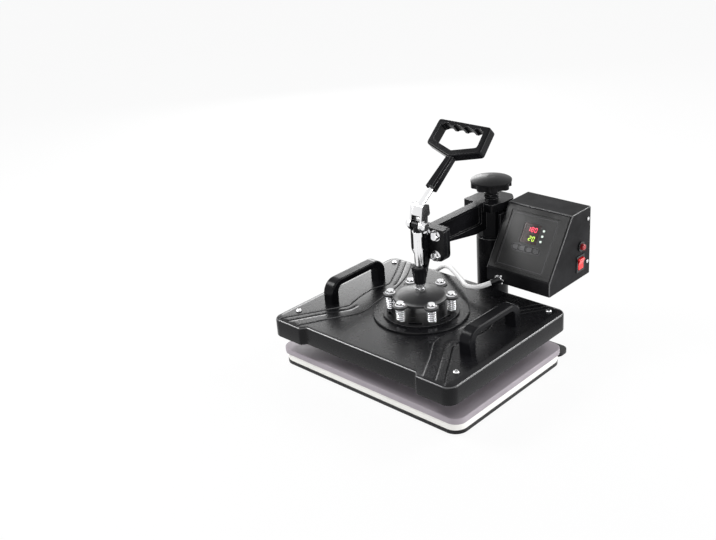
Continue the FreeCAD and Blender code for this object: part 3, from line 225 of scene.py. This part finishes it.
# A lighter, glossier black laid on bevels and rounded rims: a painted highlight line along the edges.
PAINTED_HIGHLIGHT_BLACK = paint("painted_highlight_black", (0.05, 0.05, 0.052), 0.28, grain=500.0, depth=0.00004, strength=0.1, spec=0.9,
                   edge=0.0, vary=0.3)
HAMMERED_BLACK = paint("hammered_black", (0.016, 0.016, 0.017), 0.42, grain=330.0, depth=0.0004, strength=0.6,
                       spec=0.3, edge=0.0)
RESET_RED = paint("reset_red", (0.3, 0.006, 0.01), 0.2, grain=300.0, strength=0.05, edge=0.0, vary=0.1, coat=0.3)
OWN_LOOK = {"spindle": MATERIALS["cast_black"], "reset_button": RESET_RED}
# Slots whose bevel faces get the painted highlight black.
PAINTED_RIM_SLOTS = ("box_black", "grip_black", "cast_black", "panel_film", "key_grey")
LINE_GREY = paint("line_grey", (0.11, 0.11, 0.115), 0.4, spec=0.3, edge=0.0)
FRAME_FILM = paint("frame_film", (0.032, 0.032, 0.032), 0.34, grain=1800.0, depth=0.00004, strength=0.2, spec=0.2,
                   edge=0.0, vary=0.1)
DIGIT_RED = glow("digit_red", (0.7, 0.05, 0.08), (1.0, 0.05, 0.12), 1.6)
DIGIT_GREEN = glow("digit_green", (0.4, 0.6, 0.05), (0.62, 0.95, 0.08), 1.3)


# Mesh helpers, in millimetres


def add_mesh(name, verts, faces, angle=32.0):
    me = bpy.data.meshes.new(name)
    me.from_pydata([tuple(c * MM for c in v) for v in verts], [], faces)
    me.validate()
    me.update()
    me.shade_smooth()
    me.set_sharp_from_angle(angle=math.radians(angle))
    ob = bpy.data.objects.new(name, me)
    bpy.context.scene.collection.objects.link(ob)
    return ob


def finish_piece(ob, body, slot, *nodes, material=None):
    ob.data.materials.clear()
    ob.data.materials.append(material or MATERIALS[slot])
    if body:
        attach(ob, body)
    if nodes:
        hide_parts(*nodes)
    return ob


BEVEL_OVER, SHARP_OVER = math.radians(28.0), math.radians(35.0)
FLAT_WITHIN = math.radians(0.6)


def polish(node, width, broad=0.0):
    """A finer copy of a hard piece that stands for the node, with a bevel on the edges between faces that are
    at least as large as broad, in square metres."""
    source = NODES[node]
    me = source.data.copy()
    work = bmesh.new()
    work.from_mesh(me)
    bmesh.ops.remove_doubles(work, verts=work.verts, dist=2e-6)
    bmesh.ops.dissolve_limit(work, angle_limit=FLAT_WITHIN, verts=work.verts, edges=work.edges)
    sharp = [e for e in work.edges if len(e.link_faces) == 2 and e.calc_face_angle(0.0) > BEVEL_OVER
             and min(face.calc_area() for face in e.link_faces) >= broad]
    round_off = bmesh.ops.bevel(work, geom=sharp, offset=width * MM, offset_type="OFFSET", segments=2, profile=0.5,
                                affect="EDGES", clamp_overlap=True, harden_normals=False)
    work.faces.index_update()
    edges = [face.index for face in round_off["faces"]]
    work.to_mesh(me)
    work.free()
    me.shade_smooth()
    me.set_sharp_from_angle(angle=SHARP_OVER)
    ob = bpy.data.objects.new(node + "_fine", me)
    bpy.context.scene.collection.objects.link(ob)
    even = ob.modifiers.new("even_faces", "WEIGHTED_NORMAL")
    even.keep_sharp = True
    even.weight = 100
    finish_piece(ob, BODY_OF[node], SLOT_OF[node], node)
    # Painted highlight: the bevel faces of these slots get the lighter highlight black, a line painted along each
    # edge.
    if SLOT_OF[node] in PAINTED_RIM_SLOTS:
        me.materials.append(PAINTED_HIGHLIGHT_BLACK)
        for i in edges:
            me.polygons[i].material_index = 1
    return ob


def rounded_plan(points, radii, step=1.5):
    """Points round a closed plan whose corners are arcs."""
    out = []
    count = len(points)
    for i in range(count):
        p = Vector(points[i])
        back = (Vector(points[i - 1]) - p).normalized()
        ahead = (Vector(points[(i + 1) % count]) - p).normalized()
        half = back.angle(ahead) / 2
        r = radii[i]
        reach = r / math.tan(half)
        centre = p + (back + ahead).normalized() * (r / math.sin(half))
        a = p + back * reach - centre
        b = p + ahead * reach - centre
        sweep = a.angle(b)
        cuts = max(6, int(sweep * r / step) * 2)
        sign = 1 if a.cross(b) > 0 else -1
        for k in range(cuts + 1):
            turn_by = Matrix.Rotation(sign * sweep * k / cuts, 2)
            out.append(centre + turn_by @ a)
    dense = []
    for i, p in enumerate(out):
        q = out[(i + 1) % len(out)]
        gap = (q - p).length
        if gap < 1e-6:
            continue
        pieces = max(1, int(gap / 4.0))
        dense.extend(p + (q - p) * (k / pieces) for k in range(pieces))
    return dense


def offset_plan(plan, distance):
    moved = []
    count = len(plan)
    for i, p in enumerate(plan):
        along = (plan[(i + 1) % count] - plan[i - 1]).normalized()
        inward = Vector((-along.y, along.x))
        moved.append(p + inward * distance)
    return moved


def traced(points, step=1.0):
    line = []
    count = len(points)
    for i in range(count - 1):
        p0, p1, p2, p3 = (Vector(points[max(0, min(count - 1, i + k))]) for k in (-1, 0, 1, 2))
        cuts = max(2, int((p2 - p1).length / step))
        for k in range(cuts):
            t = k / cuts
            line.append(0.5 * (2 * p1 + (p2 - p0) * t + (2 * p0 - 5 * p1 + 4 * p2 - p3) * t * t
                               + (3 * p1 - p0 - 3 * p2 + p3) * t ** 3))
    line.append(Vector(points[-1]))
    tree = KDTree(len(line))
    for i, p in enumerate(line):
        tree.insert((p.x, p.y, 0), i)
    tree.balance()
    return line, tree


def across(trace, x, y):
    """Distance from a traced line, positive on its outer side."""
    line, tree = trace
    _, i, gap = tree.find((x, y, 0))
    run = line[min(i + 1, len(line) - 1)] - line[max(i - 1, 0)]
    off = Vector((x, y)) - line[i]
    return gap if run.x * off.y - run.y * off.x < 0 else -gap


def inside_plan(x, y, plan):
    hit = False
    j = len(plan) - 1
    for i in range(len(plan)):
        a, b = plan[i], plan[j]
        if (a.y > y) != (b.y > y) and x < (b.x - a.x) * (y - a.y) / (b.y - a.y) + a.x:
            hit = not hit
        j = i
    return hit


def crowned(name, plan, levels, height, pitch, floor=None, marks=(), clear=2.6):
    """A closed or open-bottomed body: rings (inset, z) from the foot up, then a top whose height is a function.
    plan runs anticlockwise. Marks are plan points that the top's mesh has to pass through."""
    verts, faces = [], []
    rings = []
    for inset, z in levels:
        ring = offset_plan(plan, inset) if inset else list(plan)
        rings.append(len(verts))
        verts.extend((p.x, p.y, z) for p in ring)
    count = len(plan)
    for a, b in zip(rings, rings[1:]):
        for i in range(count):
            j = (i + 1) % count
            faces.append((a + i, a + j, b + j, b + i))
    inset = levels[-1][0]
    edge = offset_plan(plan, inset)
    flat = [Vector((p.x, p.y)) for p in edge]
    inner = offset_plan(plan, inset + pitch * 0.7)
    xs = [p.x for p in flat]
    ys = [p.y for p in flat]
    marks = [p for p in marks if inside_plan(p.x, p.y, inner)]
    near = KDTree(len(marks) + 1)
    near.insert((1e6, 1e6, 0), 0)
    for i, p in enumerate(marks):
        near.insert((p.x, p.y, 0), i + 1)
    near.balance()
    flat.extend(marks)
    x = min(xs)
    while x < max(xs):
        y = min(ys)
        while y < max(ys):
            if near.find((x, y, 0))[2] > clear and inside_plan(x, y, inner):
                flat.append(Vector((x, y)))
            y += pitch
        x += pitch
    loop = [(i, (i + 1) % count) for i in range(count)]
    out_v, _, out_f, orig, _, _ = delaunay_2d_cdt(flat, loop, [], 1, 1e-5)
    base = rings[-1]
    index = {}
    for k, p in enumerate(out_v):
        source = [o for o in orig[k] if o < count]
        if source:
            index[k] = base + source[0]
        else:
            index[k] = len(verts)
            verts.append((p.x, p.y, height(p.x, p.y)))
    faces.extend(tuple(index[i] for i in f) for f in out_f)
    if floor is not None:
        faces.append(tuple(reversed(range(rings[0], rings[0] + count))))
    return add_mesh(name, verts, faces)


def tube_mesh(name, points, radius, cuts=20):
    """A round tube along points in metres."""
    verts, faces = [], []
    normal = None
    count = len(points)
    for i, p in enumerate(points):
        t = (points[min(i + 1, count - 1)] - points[max(i - 1, 0)]).normalized()
        if normal is None:
            normal = t.orthogonal().normalized()
        normal = (normal - t * normal.dot(t)).normalized()
        side = t.cross(normal)
        for k in range(cuts):
            a = 2 * math.pi * k / cuts
            v = p + (normal * math.cos(a) + side * math.sin(a)) * radius
            verts.append(tuple(c / MM for c in v))
    for i in range(count - 1):
        for k in range(cuts):
            m = (k + 1) % cuts
            faces.append((i * cuts + k, i * cuts + m, (i + 1) * cuts + m, (i + 1) * cuts + k))
    faces.append(tuple(reversed(range(cuts))))
    faces.append(tuple(range((count - 1) * cuts, count * cuts)))
    return add_mesh(name, verts, faces, 60)


# The white heater cable

CABLE = [(57.45, 71.78, 118.23), (42.82, 54.22, 110.91), (18.2, 51.9, 108.5), (0.0, 67.0, 107.2),
         (-26.0, 83.0, 106.8), (-50.0, 98.0, 106.8), (-72.0, 109.5, 103.4), (-89.0, 112.6, 94.5),
         (-102.0, 112.6, 81.5)]
curve = bpy.data.curves.new("cable_line", "CURVE")
curve.dimensions = "3D"
curve.resolution_u = 14
spline = curve.splines.new("NURBS")
spline.points.add(len(CABLE) - 1)
for point, place in zip(spline.points, CABLE):
    point.co = (*[c * MM for c in place], 1.0)
spline.order_u = 3
spline.use_endpoint_u = True
line_object = bpy.data.objects.new("cable_line", curve)
bpy.context.scene.collection.objects.link(line_object)
bpy.context.view_layer.update()
line_mesh = bpy.data.meshes.new_from_object(line_object)
cable_points = [v.co.copy() for v in line_mesh.vertices]
bpy.data.objects.remove(line_object)
if (cable_points[0] - Vector(CABLE[0]) * MM).length > 0.01:
    cable_points.reverse()
cable = tube_mesh("heater_cable_sleeve", cable_points, 4.25 * MM)
finish_piece(cable, None, "cable_white", "heater_cable")
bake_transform(cable)

# Pads


EASE_OVER = 40.0    # how far in from the edge the top is curved
RIPPLE = 0.06
SINK = 0.07         # keeps the ripples under the solid's top


def soft_box(name, node, half_x, half_y, z0, z1, r, lip, crown, bulge, pitch):
    """A pad with a rounded lip, a slightly bulging side and a faintly uneven top."""
    corners = [(-half_x, PAD_Y - half_y), (half_x, PAD_Y - half_y), (half_x, PAD_Y + half_y),
               (-half_x, PAD_Y + half_y)]
    plan = rounded_plan(corners, [r] * 4)
    levels = [(lip * 0.6, z0), (lip * 0.15, z0 + lip * 0.3), (0.0, z0 + lip)]
    for k in range(1, 4):
        f = k / 4
        levels.append((-bulge * math.sin(math.pi * f), z0 + lip + (z1 - z0 - 2 * lip) * f))
    for k in range(0, 5):
        a = math.pi / 2 * k / 4
        levels.append((lip * (1 - math.cos(a)), z1 - lip + lip * math.sin(a) - crown))

    def top(x, y):
        u = min(1.0, (half_x - abs(x)) / EASE_OVER)
        v = min(1.0, (half_y - abs(y - PAD_Y)) / EASE_OVER)
        swell = math.sin(math.pi / 2 * max(0.0, u)) * math.sin(math.pi / 2 * max(0.0, v))
        ripple = RIPPLE * math.sin(x * 0.11 + 1.3) * math.sin(y * 0.13 + 0.4)
        return z1 - crown + crown * swell + ripple * swell - SINK

    ob = crowned(name, plan, levels, top, pitch, floor=z0)
    finish_piece(ob, "root", SLOT_OF[node], node)
    return ob


soft_box("silicone_sheet", "silicone_pad", half_x=195.7, half_y=143.7, z0=FOAM_TOP, z1=SILICONE_TOP, r=20.0, lip=1.6,
         crown=0.25, bulge=0.2, pitch=7.0)
soft_box("foam_sheet", "foam_pad", half_x=193.4, half_y=141.4, z0=FOAM_LOW, z1=FOAM_TOP, r=21.5, lip=1.2,
         crown=0.0, bulge=0.5, pitch=12.0)

# Hot platen's pressed cover

COVER_FRONT, COVER_RECESS, COVER_REAR = PAD_Y - 157.5, PAD_Y - 148.5, PAD_Y + 154.5
COVER_HALF, EAR_FROM, RECESS_TO = 195.0, 127.0, 120.0
CORNER_R, EAR_R = 18, 5
RIM_R, RIM_CUTS = 4.0, 6
plan_points = [(-COVER_HALF, COVER_FRONT), (-EAR_FROM, COVER_FRONT), (-RECESS_TO, COVER_RECESS),
               (RECESS_TO, COVER_RECESS), (EAR_FROM, COVER_FRONT), (COVER_HALF, COVER_FRONT),
               (COVER_HALF, COVER_REAR), (-COVER_HALF, COVER_REAR)]
cover_plan = rounded_plan(plan_points, [CORNER_R] + [EAR_R] * 4 + [CORNER_R] * 3, 0.8)

# Pressed lines, as (distance from the middle, distance behind the pad's middle)
STEP_LINE = traced(((142, -160), (124, -128), (110, -103), (98, -84), (88, -68), (83.5, -56), (82, -44), (84, -28),
                    (88, -10), (91, 10), (96, 40), (103, 70), (116, 102), (131, 128), (152, 160)))
INNER_RIBS = (traced(((166, -160), (138, -112), (121, -84), (108, -62), (104.5, -52), (105, -42))),
              traced(((106, 58), (110, 70), (124, 96), (141, 124), (164, 160))))
FIELD_LINE = traced(((184, -160), (160, -122), (137, -84), (121, -58), (117.5, -46), (121, -30), (126, -5), (128, 22),
                     (122, 42), (118.5, 57), (131, 82), (151, 117), (180, 160)))
RAIL = (-1.9, -1.1, -0.5, 0.0, 0.5, 1.1, 1.9)
PRESSED_FROM = 70.0
STEP_RISE, STEP_HALF = 1.1, 1.0
RIB_DEPTH, RIB_HALF = 0.8, 1.7
FIELD_RISE, GROOVE_DEPTH, GROOVE_HALF = 0.5, 1.5, 2.1
# Bands beside the step and field lines, in mm across them, whose top faces get the painted highlight.
CREST_STEP, CREST_FIELD = (0.3, 1.2), (1.2, 2.1)
FLAT_RIM, FADE = 2.5, 3.0


def ease(t):
    t = max(0.0, min(1.0, t))
    return t * t * (3 - 2 * t)


def cover_height(x, y):
    """Two pressed steps up towards the side fields, with a groove round each field."""
    u, v = abs(x), y - PAD_Y
    rise = 0.0
    if u > PRESSED_FROM:
        rise = STEP_RISE * ease((across(STEP_LINE, u, v) + STEP_HALF) / (2 * STEP_HALF))
        for rib in INNER_RIBS:
            rise -= RIB_DEPTH * ease(1.0 - abs(across(rib, u, v)) / RIB_HALF)
        field = across(FIELD_LINE, u, v)
        rise += FIELD_RISE * ease((field + STEP_HALF) / (2 * STEP_HALF))
        rise -= GROOVE_DEPTH * ease(1.0 - abs(field) / GROOVE_HALF)
    near = min(COVER_HALF - u, COVER_REAR - y, y - (COVER_FRONT if u > EAR_FROM else COVER_RECESS))
    return COVER_TOP + rise * ease((near - FLAT_RIM) / FADE)


def rails(trace, pitch=2.2):
    """Points beside a traced line on both sides of the cover, in rows across it."""
    line = trace[0]
    out = []
    travelled = 0.0
    for i in range(1, len(line) - 1):
        travelled += (line[i] - line[i - 1]).length
        if travelled < pitch:
            continue
        travelled = 0.0
        run = (line[i + 1] - line[i - 1]).normalized()
        for shift in RAIL:
            u, v = line[i].x + run.y * shift, line[i].y - run.x * shift
            out += [Vector((u, v + PAD_Y)), Vector((-u, v + PAD_Y))]
    return out


cover_levels = [(1.2, COVER_LOW), (0.3, COVER_LOW + 0.3), (0.0, COVER_LOW + 1.2), (0.0, 78.0)]
for k in range(RIM_CUTS + 1):
    a = math.pi / 2 * k / RIM_CUTS
    cover_levels.append((RIM_R * (1 - math.cos(a)), COVER_TOP - RIM_R + RIM_R * math.sin(a)))
pressed = [p for trace in (STEP_LINE, *INNER_RIBS, FIELD_LINE) for p in rails(trace)]
cover = crowned("cover_pressing", cover_plan, cover_levels, cover_height, 4.0, marks=pressed)
finish_piece(cover, "platen", "cover_black", "platen_cover")
# Painted highlight: the middle of the rounded top rim and the crests of the pressed lines get the lighter highlight
# black.
cover.data.materials.append(PAINTED_HIGHLIGHT_BLACK)
HIGHLIGHT_RINGS = (len(cover_levels) - 5, len(cover_levels) - 4)
for i, face in enumerate(cover.data.polygons):
    ring = i // len(cover_plan)
    u, v = abs(face.center.x) / MM, face.center.y / MM - PAD_Y
    on_top = ring >= len(cover_levels) - 1
    on_crest = (CREST_STEP[0] < across(STEP_LINE, u, v) < CREST_STEP[1]
                or CREST_FIELD[0] < across(FIELD_LINE, u, v) < CREST_FIELD[1])
    if ring in HIGHLIGHT_RINGS or (on_top and on_crest):
        face.material_index = 1

# Hard pieces carried over with finer edges

FINE = {}
BROAD_FACE = 0.0015
for node, width in (
        ("base_frame", 1.2), ("base_tray", 0.4), ("rubber_feet", 0.4), ("foot_screws", 0.3), ("post", 0.8),
        ("post_bolts", 0.4), ("spindle_nut", 0.5), ("pressure_knob", 0.6), ("arm_casting", 1.6),
        ("press_head", 1.4), ("flange_bolts", 0.5), ("fulcrum_pin", 0.3), ("box_bracket", 0.8),
        ("box_shell", 1.3), ("box_back", 0.4), ("face_panel", 0.25), ("cable_connector", 0.5),
        ("power_inlet", 0.5), ("switch_housing", 0.5), ("reset_bezel", 0.5), ("box_screws", 0.4),
        ("key_1", 0.3), ("key_2", 0.3), ("key_3", 0.3), ("key_4", 0.3), ("rocker_switch", 0.4),
        ("plunger_shaft", 0.4), ("plunger_head", 0.5), ("head_pin", 0.6), ("lock_nut", 0.5),
        ("upper_spider", 0.9), ("platen_bolts", 0.8), ("spring_plate", 0.5), ("handle_screws", 0.3),
        ("cover_screws", 0.4), ("cable_gland", 0.5), ("lever_fork", 0.9), ("lever_grip", 1.0),
        ("heating_plate", 0.6)):
    FINE[node] = polish(node, width, broad=BROAD_FACE if node == "box_shell" else 0.0)
FINE["upper_spider"].data.materials[0] = HAMMERED_BLACK
FINE["cable_connector"].data.materials.append(MATERIALS["chrome"])
for face in FINE["cable_connector"].data.polygons:
    if face.center.y / MM > CONNECTOR_NECK:
        face.material_index = 1

for node, ob in NODES.items():
    ob.data.materials.clear()
    ob.data.materials.append(OWN_LOOK.get(node, MATERIALS[SLOT_OF[node]]))

# Display digits, seven bars each, on the slope of the control box

SLOPE = math.atan2(BOX_TOP - BOX_LIP, BOX_RIDGE - BOX_FRONT)
PANEL = Matrix.Translation((0, BOX_FRONT, BOX_LIP)) @ Matrix.Rotation(SLOPE, 4, "X")
BARS = {"a": (0, 4, True), "b": (2, 2, False), "c": (2, -2, False), "d": (0, -4, True), "e": (-2, -2, False),
        "f": (-2, 2, False), "g": (0, 0, True)}
LIT = {"0": "abcdef", "1": "bc", "8": "abcdefg", "2": "abged"}
BAR_LONG, BAR_WIDE, LEAN, DIGIT_PITCH = 3.6, 1.15, 0.09, 7.2
DIGIT_LOW, DIGIT_THICK, DIGIT_SCALE = -2.15, 0.25, 0.95


def bar(centre, long_x, length, width):
    """A flat six-sided bar in the panel's plane."""
    h, w = length / 2, width / 2
    ring = [(-h, 0), (-h + w, -w), (h - w, -w), (h, 0), (h - w, w), (-h + w, w)]
    if not long_x:
        ring = [(-b, a) for a, b in ring]
    return [(centre[0] + a + LEAN * (centre[1] + b), centre[1] + b) for a, b in ring]


def number(name, text, x0, along, scale, material):
    """Digits side by side in the display's window."""
    verts, faces = [], []
    for i, character in enumerate(text):
        for key in LIT[character]:
            cx, cy, flat = BARS[key]
            ring = bar((cx * scale, cy * scale), flat, BAR_LONG * scale, BAR_WIDE * scale)
            start = len(verts)
            for level in (DIGIT_LOW, DIGIT_LOW + DIGIT_THICK):
                for a, b in ring:
                    verts.append(tuple(PANEL @ Vector((x0 + i * DIGIT_PITCH * scale + a, along + b, level))))
            faces.append(tuple(range(start + 6, start + 12)))
            faces.append(tuple(reversed(range(start, start + 6))))
            for k in range(6):
                m = (k + 1) % 6
                faces.append((start + k, start + m, start + 6 + m, start + 6 + k))
    ob = add_mesh(name, verts, faces)
    return finish_piece(ob, "arm", "display_dark", material=material)


def panel_line(name, x0, x1, low, high, radius, width, material):
    """A thin raised line round a stretch of the panel."""
    plan = rounded_plan([(x0, low), (x1, low), (x1, high), (x0, high)], [radius] * 4)
    verts, faces = [], []
    count = len(plan)
    for inset, z in ((0.0, -1.0), (0.1, -0.6), (width - 0.1, -0.6), (width, -1.0)):
        verts.extend(tuple(PANEL @ Vector((p.x, p.y, z))) for p in offset_plan(plan, inset))
    for a in range(4):
        b = (a + 1) % 4
        for i in range(count):
            j = (i + 1) % count
            faces.append((a * count + i, a * count + j, b * count + j, b * count + i))
    return finish_piece(add_mesh(name, verts, faces, 40), "arm", "panel_film", material=material)


def panel_plate(name, outer, inner, thick):
    """The flat frame round the panel, on the slope of the box."""
    verts = []
    for x0, x1, low, high in (outer, inner):
        for z in (0.0, thick):
            verts.extend(tuple(PANEL @ Vector((x, y, z))) for x, y in ((x0, low), (x1, low), (x1, high), (x0, high)))
    faces = []
    for a, b in ((0, 4), (4, 12), (12, 8), (8, 0)):
        for i in range(4):
            j = (i + 1) % 4
            faces.append((a + i, a + j, b + j, b + i))
    return finish_piece(add_mesh(name, verts, faces), "arm", "panel_film", material=FRAME_FILM)


panel_plate("panel_frame", (41.5, 163.5, 3.0, 117.0), (50.9, 149.1, 8.4, 108.6), 0.4)
panel_line("panel_inset", 54.5, 145.5, 12.0, 105.0, 3.0, 0.7, LINE_GREY)
panel_line("key_outline", 71.5, 130.5, 40.8, 53.2, 6.2, 0.7, LINE_GREY)
number("digits_upper", "180", 94.0, 82.2, DIGIT_SCALE, DIGIT_RED)
number("digits_lower", "20", 100.8, 66.7, DIGIT_SCALE, DIGIT_GREEN)

# Dark crosses on the screws of the cover: painted shade of their cross recesses


COVER_SCREWS = ((-172, -115), (172, -115), (172, 131.5), (-172, 131.5))
RECESS_Z, RECESS_SIZE, RECESS_TURN = 98.0, 2.4, 0.35


def recess_shade_cross(name, x, y, z, size, body):
    """A thin dark cross on a screw's head: painted shade that stands in for the cross recess."""
    verts, faces = [], []
    for turn_by in (RECESS_TURN, RECESS_TURN + math.pi / 2):
        c, s = math.cos(turn_by), math.sin(turn_by)
        ring = [(-size, -size * 0.22), (size, -size * 0.22), (size, size * 0.22), (-size, size * 0.22)]
        start = len(verts)
        for level in (z - 0.3, z + 0.05):
            verts.extend((x + c * a - s * b, y + s * a + c * b, level) for a, b in ring)
        faces += [(start + 4, start + 5, start + 6, start + 7), (start + 3, start + 2, start + 1, start)]
        faces += [(start + k, start + (k + 1) % 4, start + 4 + (k + 1) % 4, start + 4 + k) for k in range(4)]
    ob = add_mesh(name, verts, faces)
    return finish_piece(ob, body, "base_black")


for i, (x, v) in enumerate(COVER_SCREWS):
    recess_shade_cross("cover_screw_recess_shade_%d" % i, x, PAD_Y + v, RECESS_Z, RECESS_SIZE, "platen")

# Floor, world and lamps


def seen_by_eye(tree):
    """1 for rays from the camera, and for those a shiny or clear surface sends on."""
    rays = tree.nodes.new("ShaderNodeLightPath")
    first = tree.nodes.new("ShaderNodeMath")
    first.operation = "MAXIMUM"
    tree.links.new(rays.outputs["Is Camera Ray"], first.inputs[0])
    tree.links.new(rays.outputs["Is Glossy Ray"], first.inputs[1])
    both = tree.nodes.new("ShaderNodeMath")
    both.operation = "MAXIMUM"
    tree.links.new(first.outputs["Value"], both.inputs[0])
    tree.links.new(rays.outputs["Is Transmission Ray"], both.inputs[1])
    return both.outputs["Value"]


FLOOR_HALF, FLOOR_Z = 6000, -0.2
FLOOR_SHARE = 0.92    # how much of the plain white the eye sees, the rest is the lit floor with its shadow
floor_verts = [(x * FLOOR_HALF, y * FLOOR_HALF, FLOOR_Z) for x, y in ((-1, -1), (1, -1), (1, 1), (-1, 1))]
floor = add_mesh("floor", floor_verts, [(0, 1, 2, 3)])
mat, tree, bsdf = graph("floor_white")
tree.links.new(ramp(tree, noise(tree, 3.0), (0.9, 0.9, 0.9), (0.93, 0.93, 0.93)), bsdf.inputs["Base Color"])
bsdf.inputs["Roughness"].default_value = 0.9
bsdf.inputs["Specular IOR Level"].default_value = 0.1
shine = tree.nodes.new("ShaderNodeEmission")
shine.inputs["Color"].default_value = (1, 1, 1, 1)
share = tree.nodes.new("ShaderNodeMath")
share.operation = "MULTIPLY"
share.inputs[1].default_value = FLOOR_SHARE
tree.links.new(seen_by_eye(tree), share.inputs[0])
blend_node = tree.nodes.new("ShaderNodeMixShader")
tree.links.new(share.outputs["Value"], blend_node.inputs["Fac"])
tree.links.new(bsdf.outputs["BSDF"], blend_node.inputs[1])
tree.links.new(shine.outputs["Emission"], blend_node.inputs[2])
tree.links.new(blend_node.outputs["Shader"], tree.nodes["Material Output"].inputs["Surface"])
floor.data.materials.append(mat)

world = bpy.data.worlds.new("studio")
bpy.context.scene.world = world
world.use_nodes = True
wt = world.node_tree
background = wt.nodes["Background"]
background.inputs["Color"].default_value = (0.62, 0.62, 0.64, 1)
background.inputs["Strength"].default_value = 0.6
white = wt.nodes.new("ShaderNodeBackground")
white.inputs["Color"].default_value = (1, 1, 1, 1)
mix = wt.nodes.new("ShaderNodeMixShader")
wt.links.new(seen_by_eye(wt), mix.inputs["Fac"])
wt.links.new(background.outputs["Background"], mix.inputs[1])
wt.links.new(white.outputs["Background"], mix.inputs[2])
wt.links.new(mix.outputs["Shader"], wt.nodes["World Output"].inputs["Surface"])


def lamp(name, place, aim, wide, high, power):
    data = bpy.data.lights.new(name, "AREA")
    data.shape = "RECTANGLE"
    data.size = wide
    data.size_y = high
    data.energy = power
    ob = bpy.data.objects.new(name, data)
    bpy.context.scene.collection.objects.link(ob)
    ob.location = place
    ob.rotation_mode = "QUATERNION"
    ob.rotation_quaternion = (Vector(aim) - Vector(place)).to_track_quat("-Z", "Y")
    ob.visible_camera = False


lamp("key_front_left", (-1.15, -0.75, 1.35), (0, 0, 0.15), 0.7, 0.5, 20.0)
lamp("front_low", (0.6, -1.7, 0.35), (0, -0.1, 0.05), 1.5, 0.5, 6.5)
lamp("back_left", (-1.4, 1.15, 0.6), (0, 0, 0.1), 0.9, 0.5, 12.0)
lamp("back_right", (0.75, 1.3, 1.25), (0, 0, 0.15), 0.6, 0.5, 12.0)
lamp("right_low", (1.5, 0.75, 0.3), (0.1, 0, 0.12), 1.3, 0.6, 18.0)
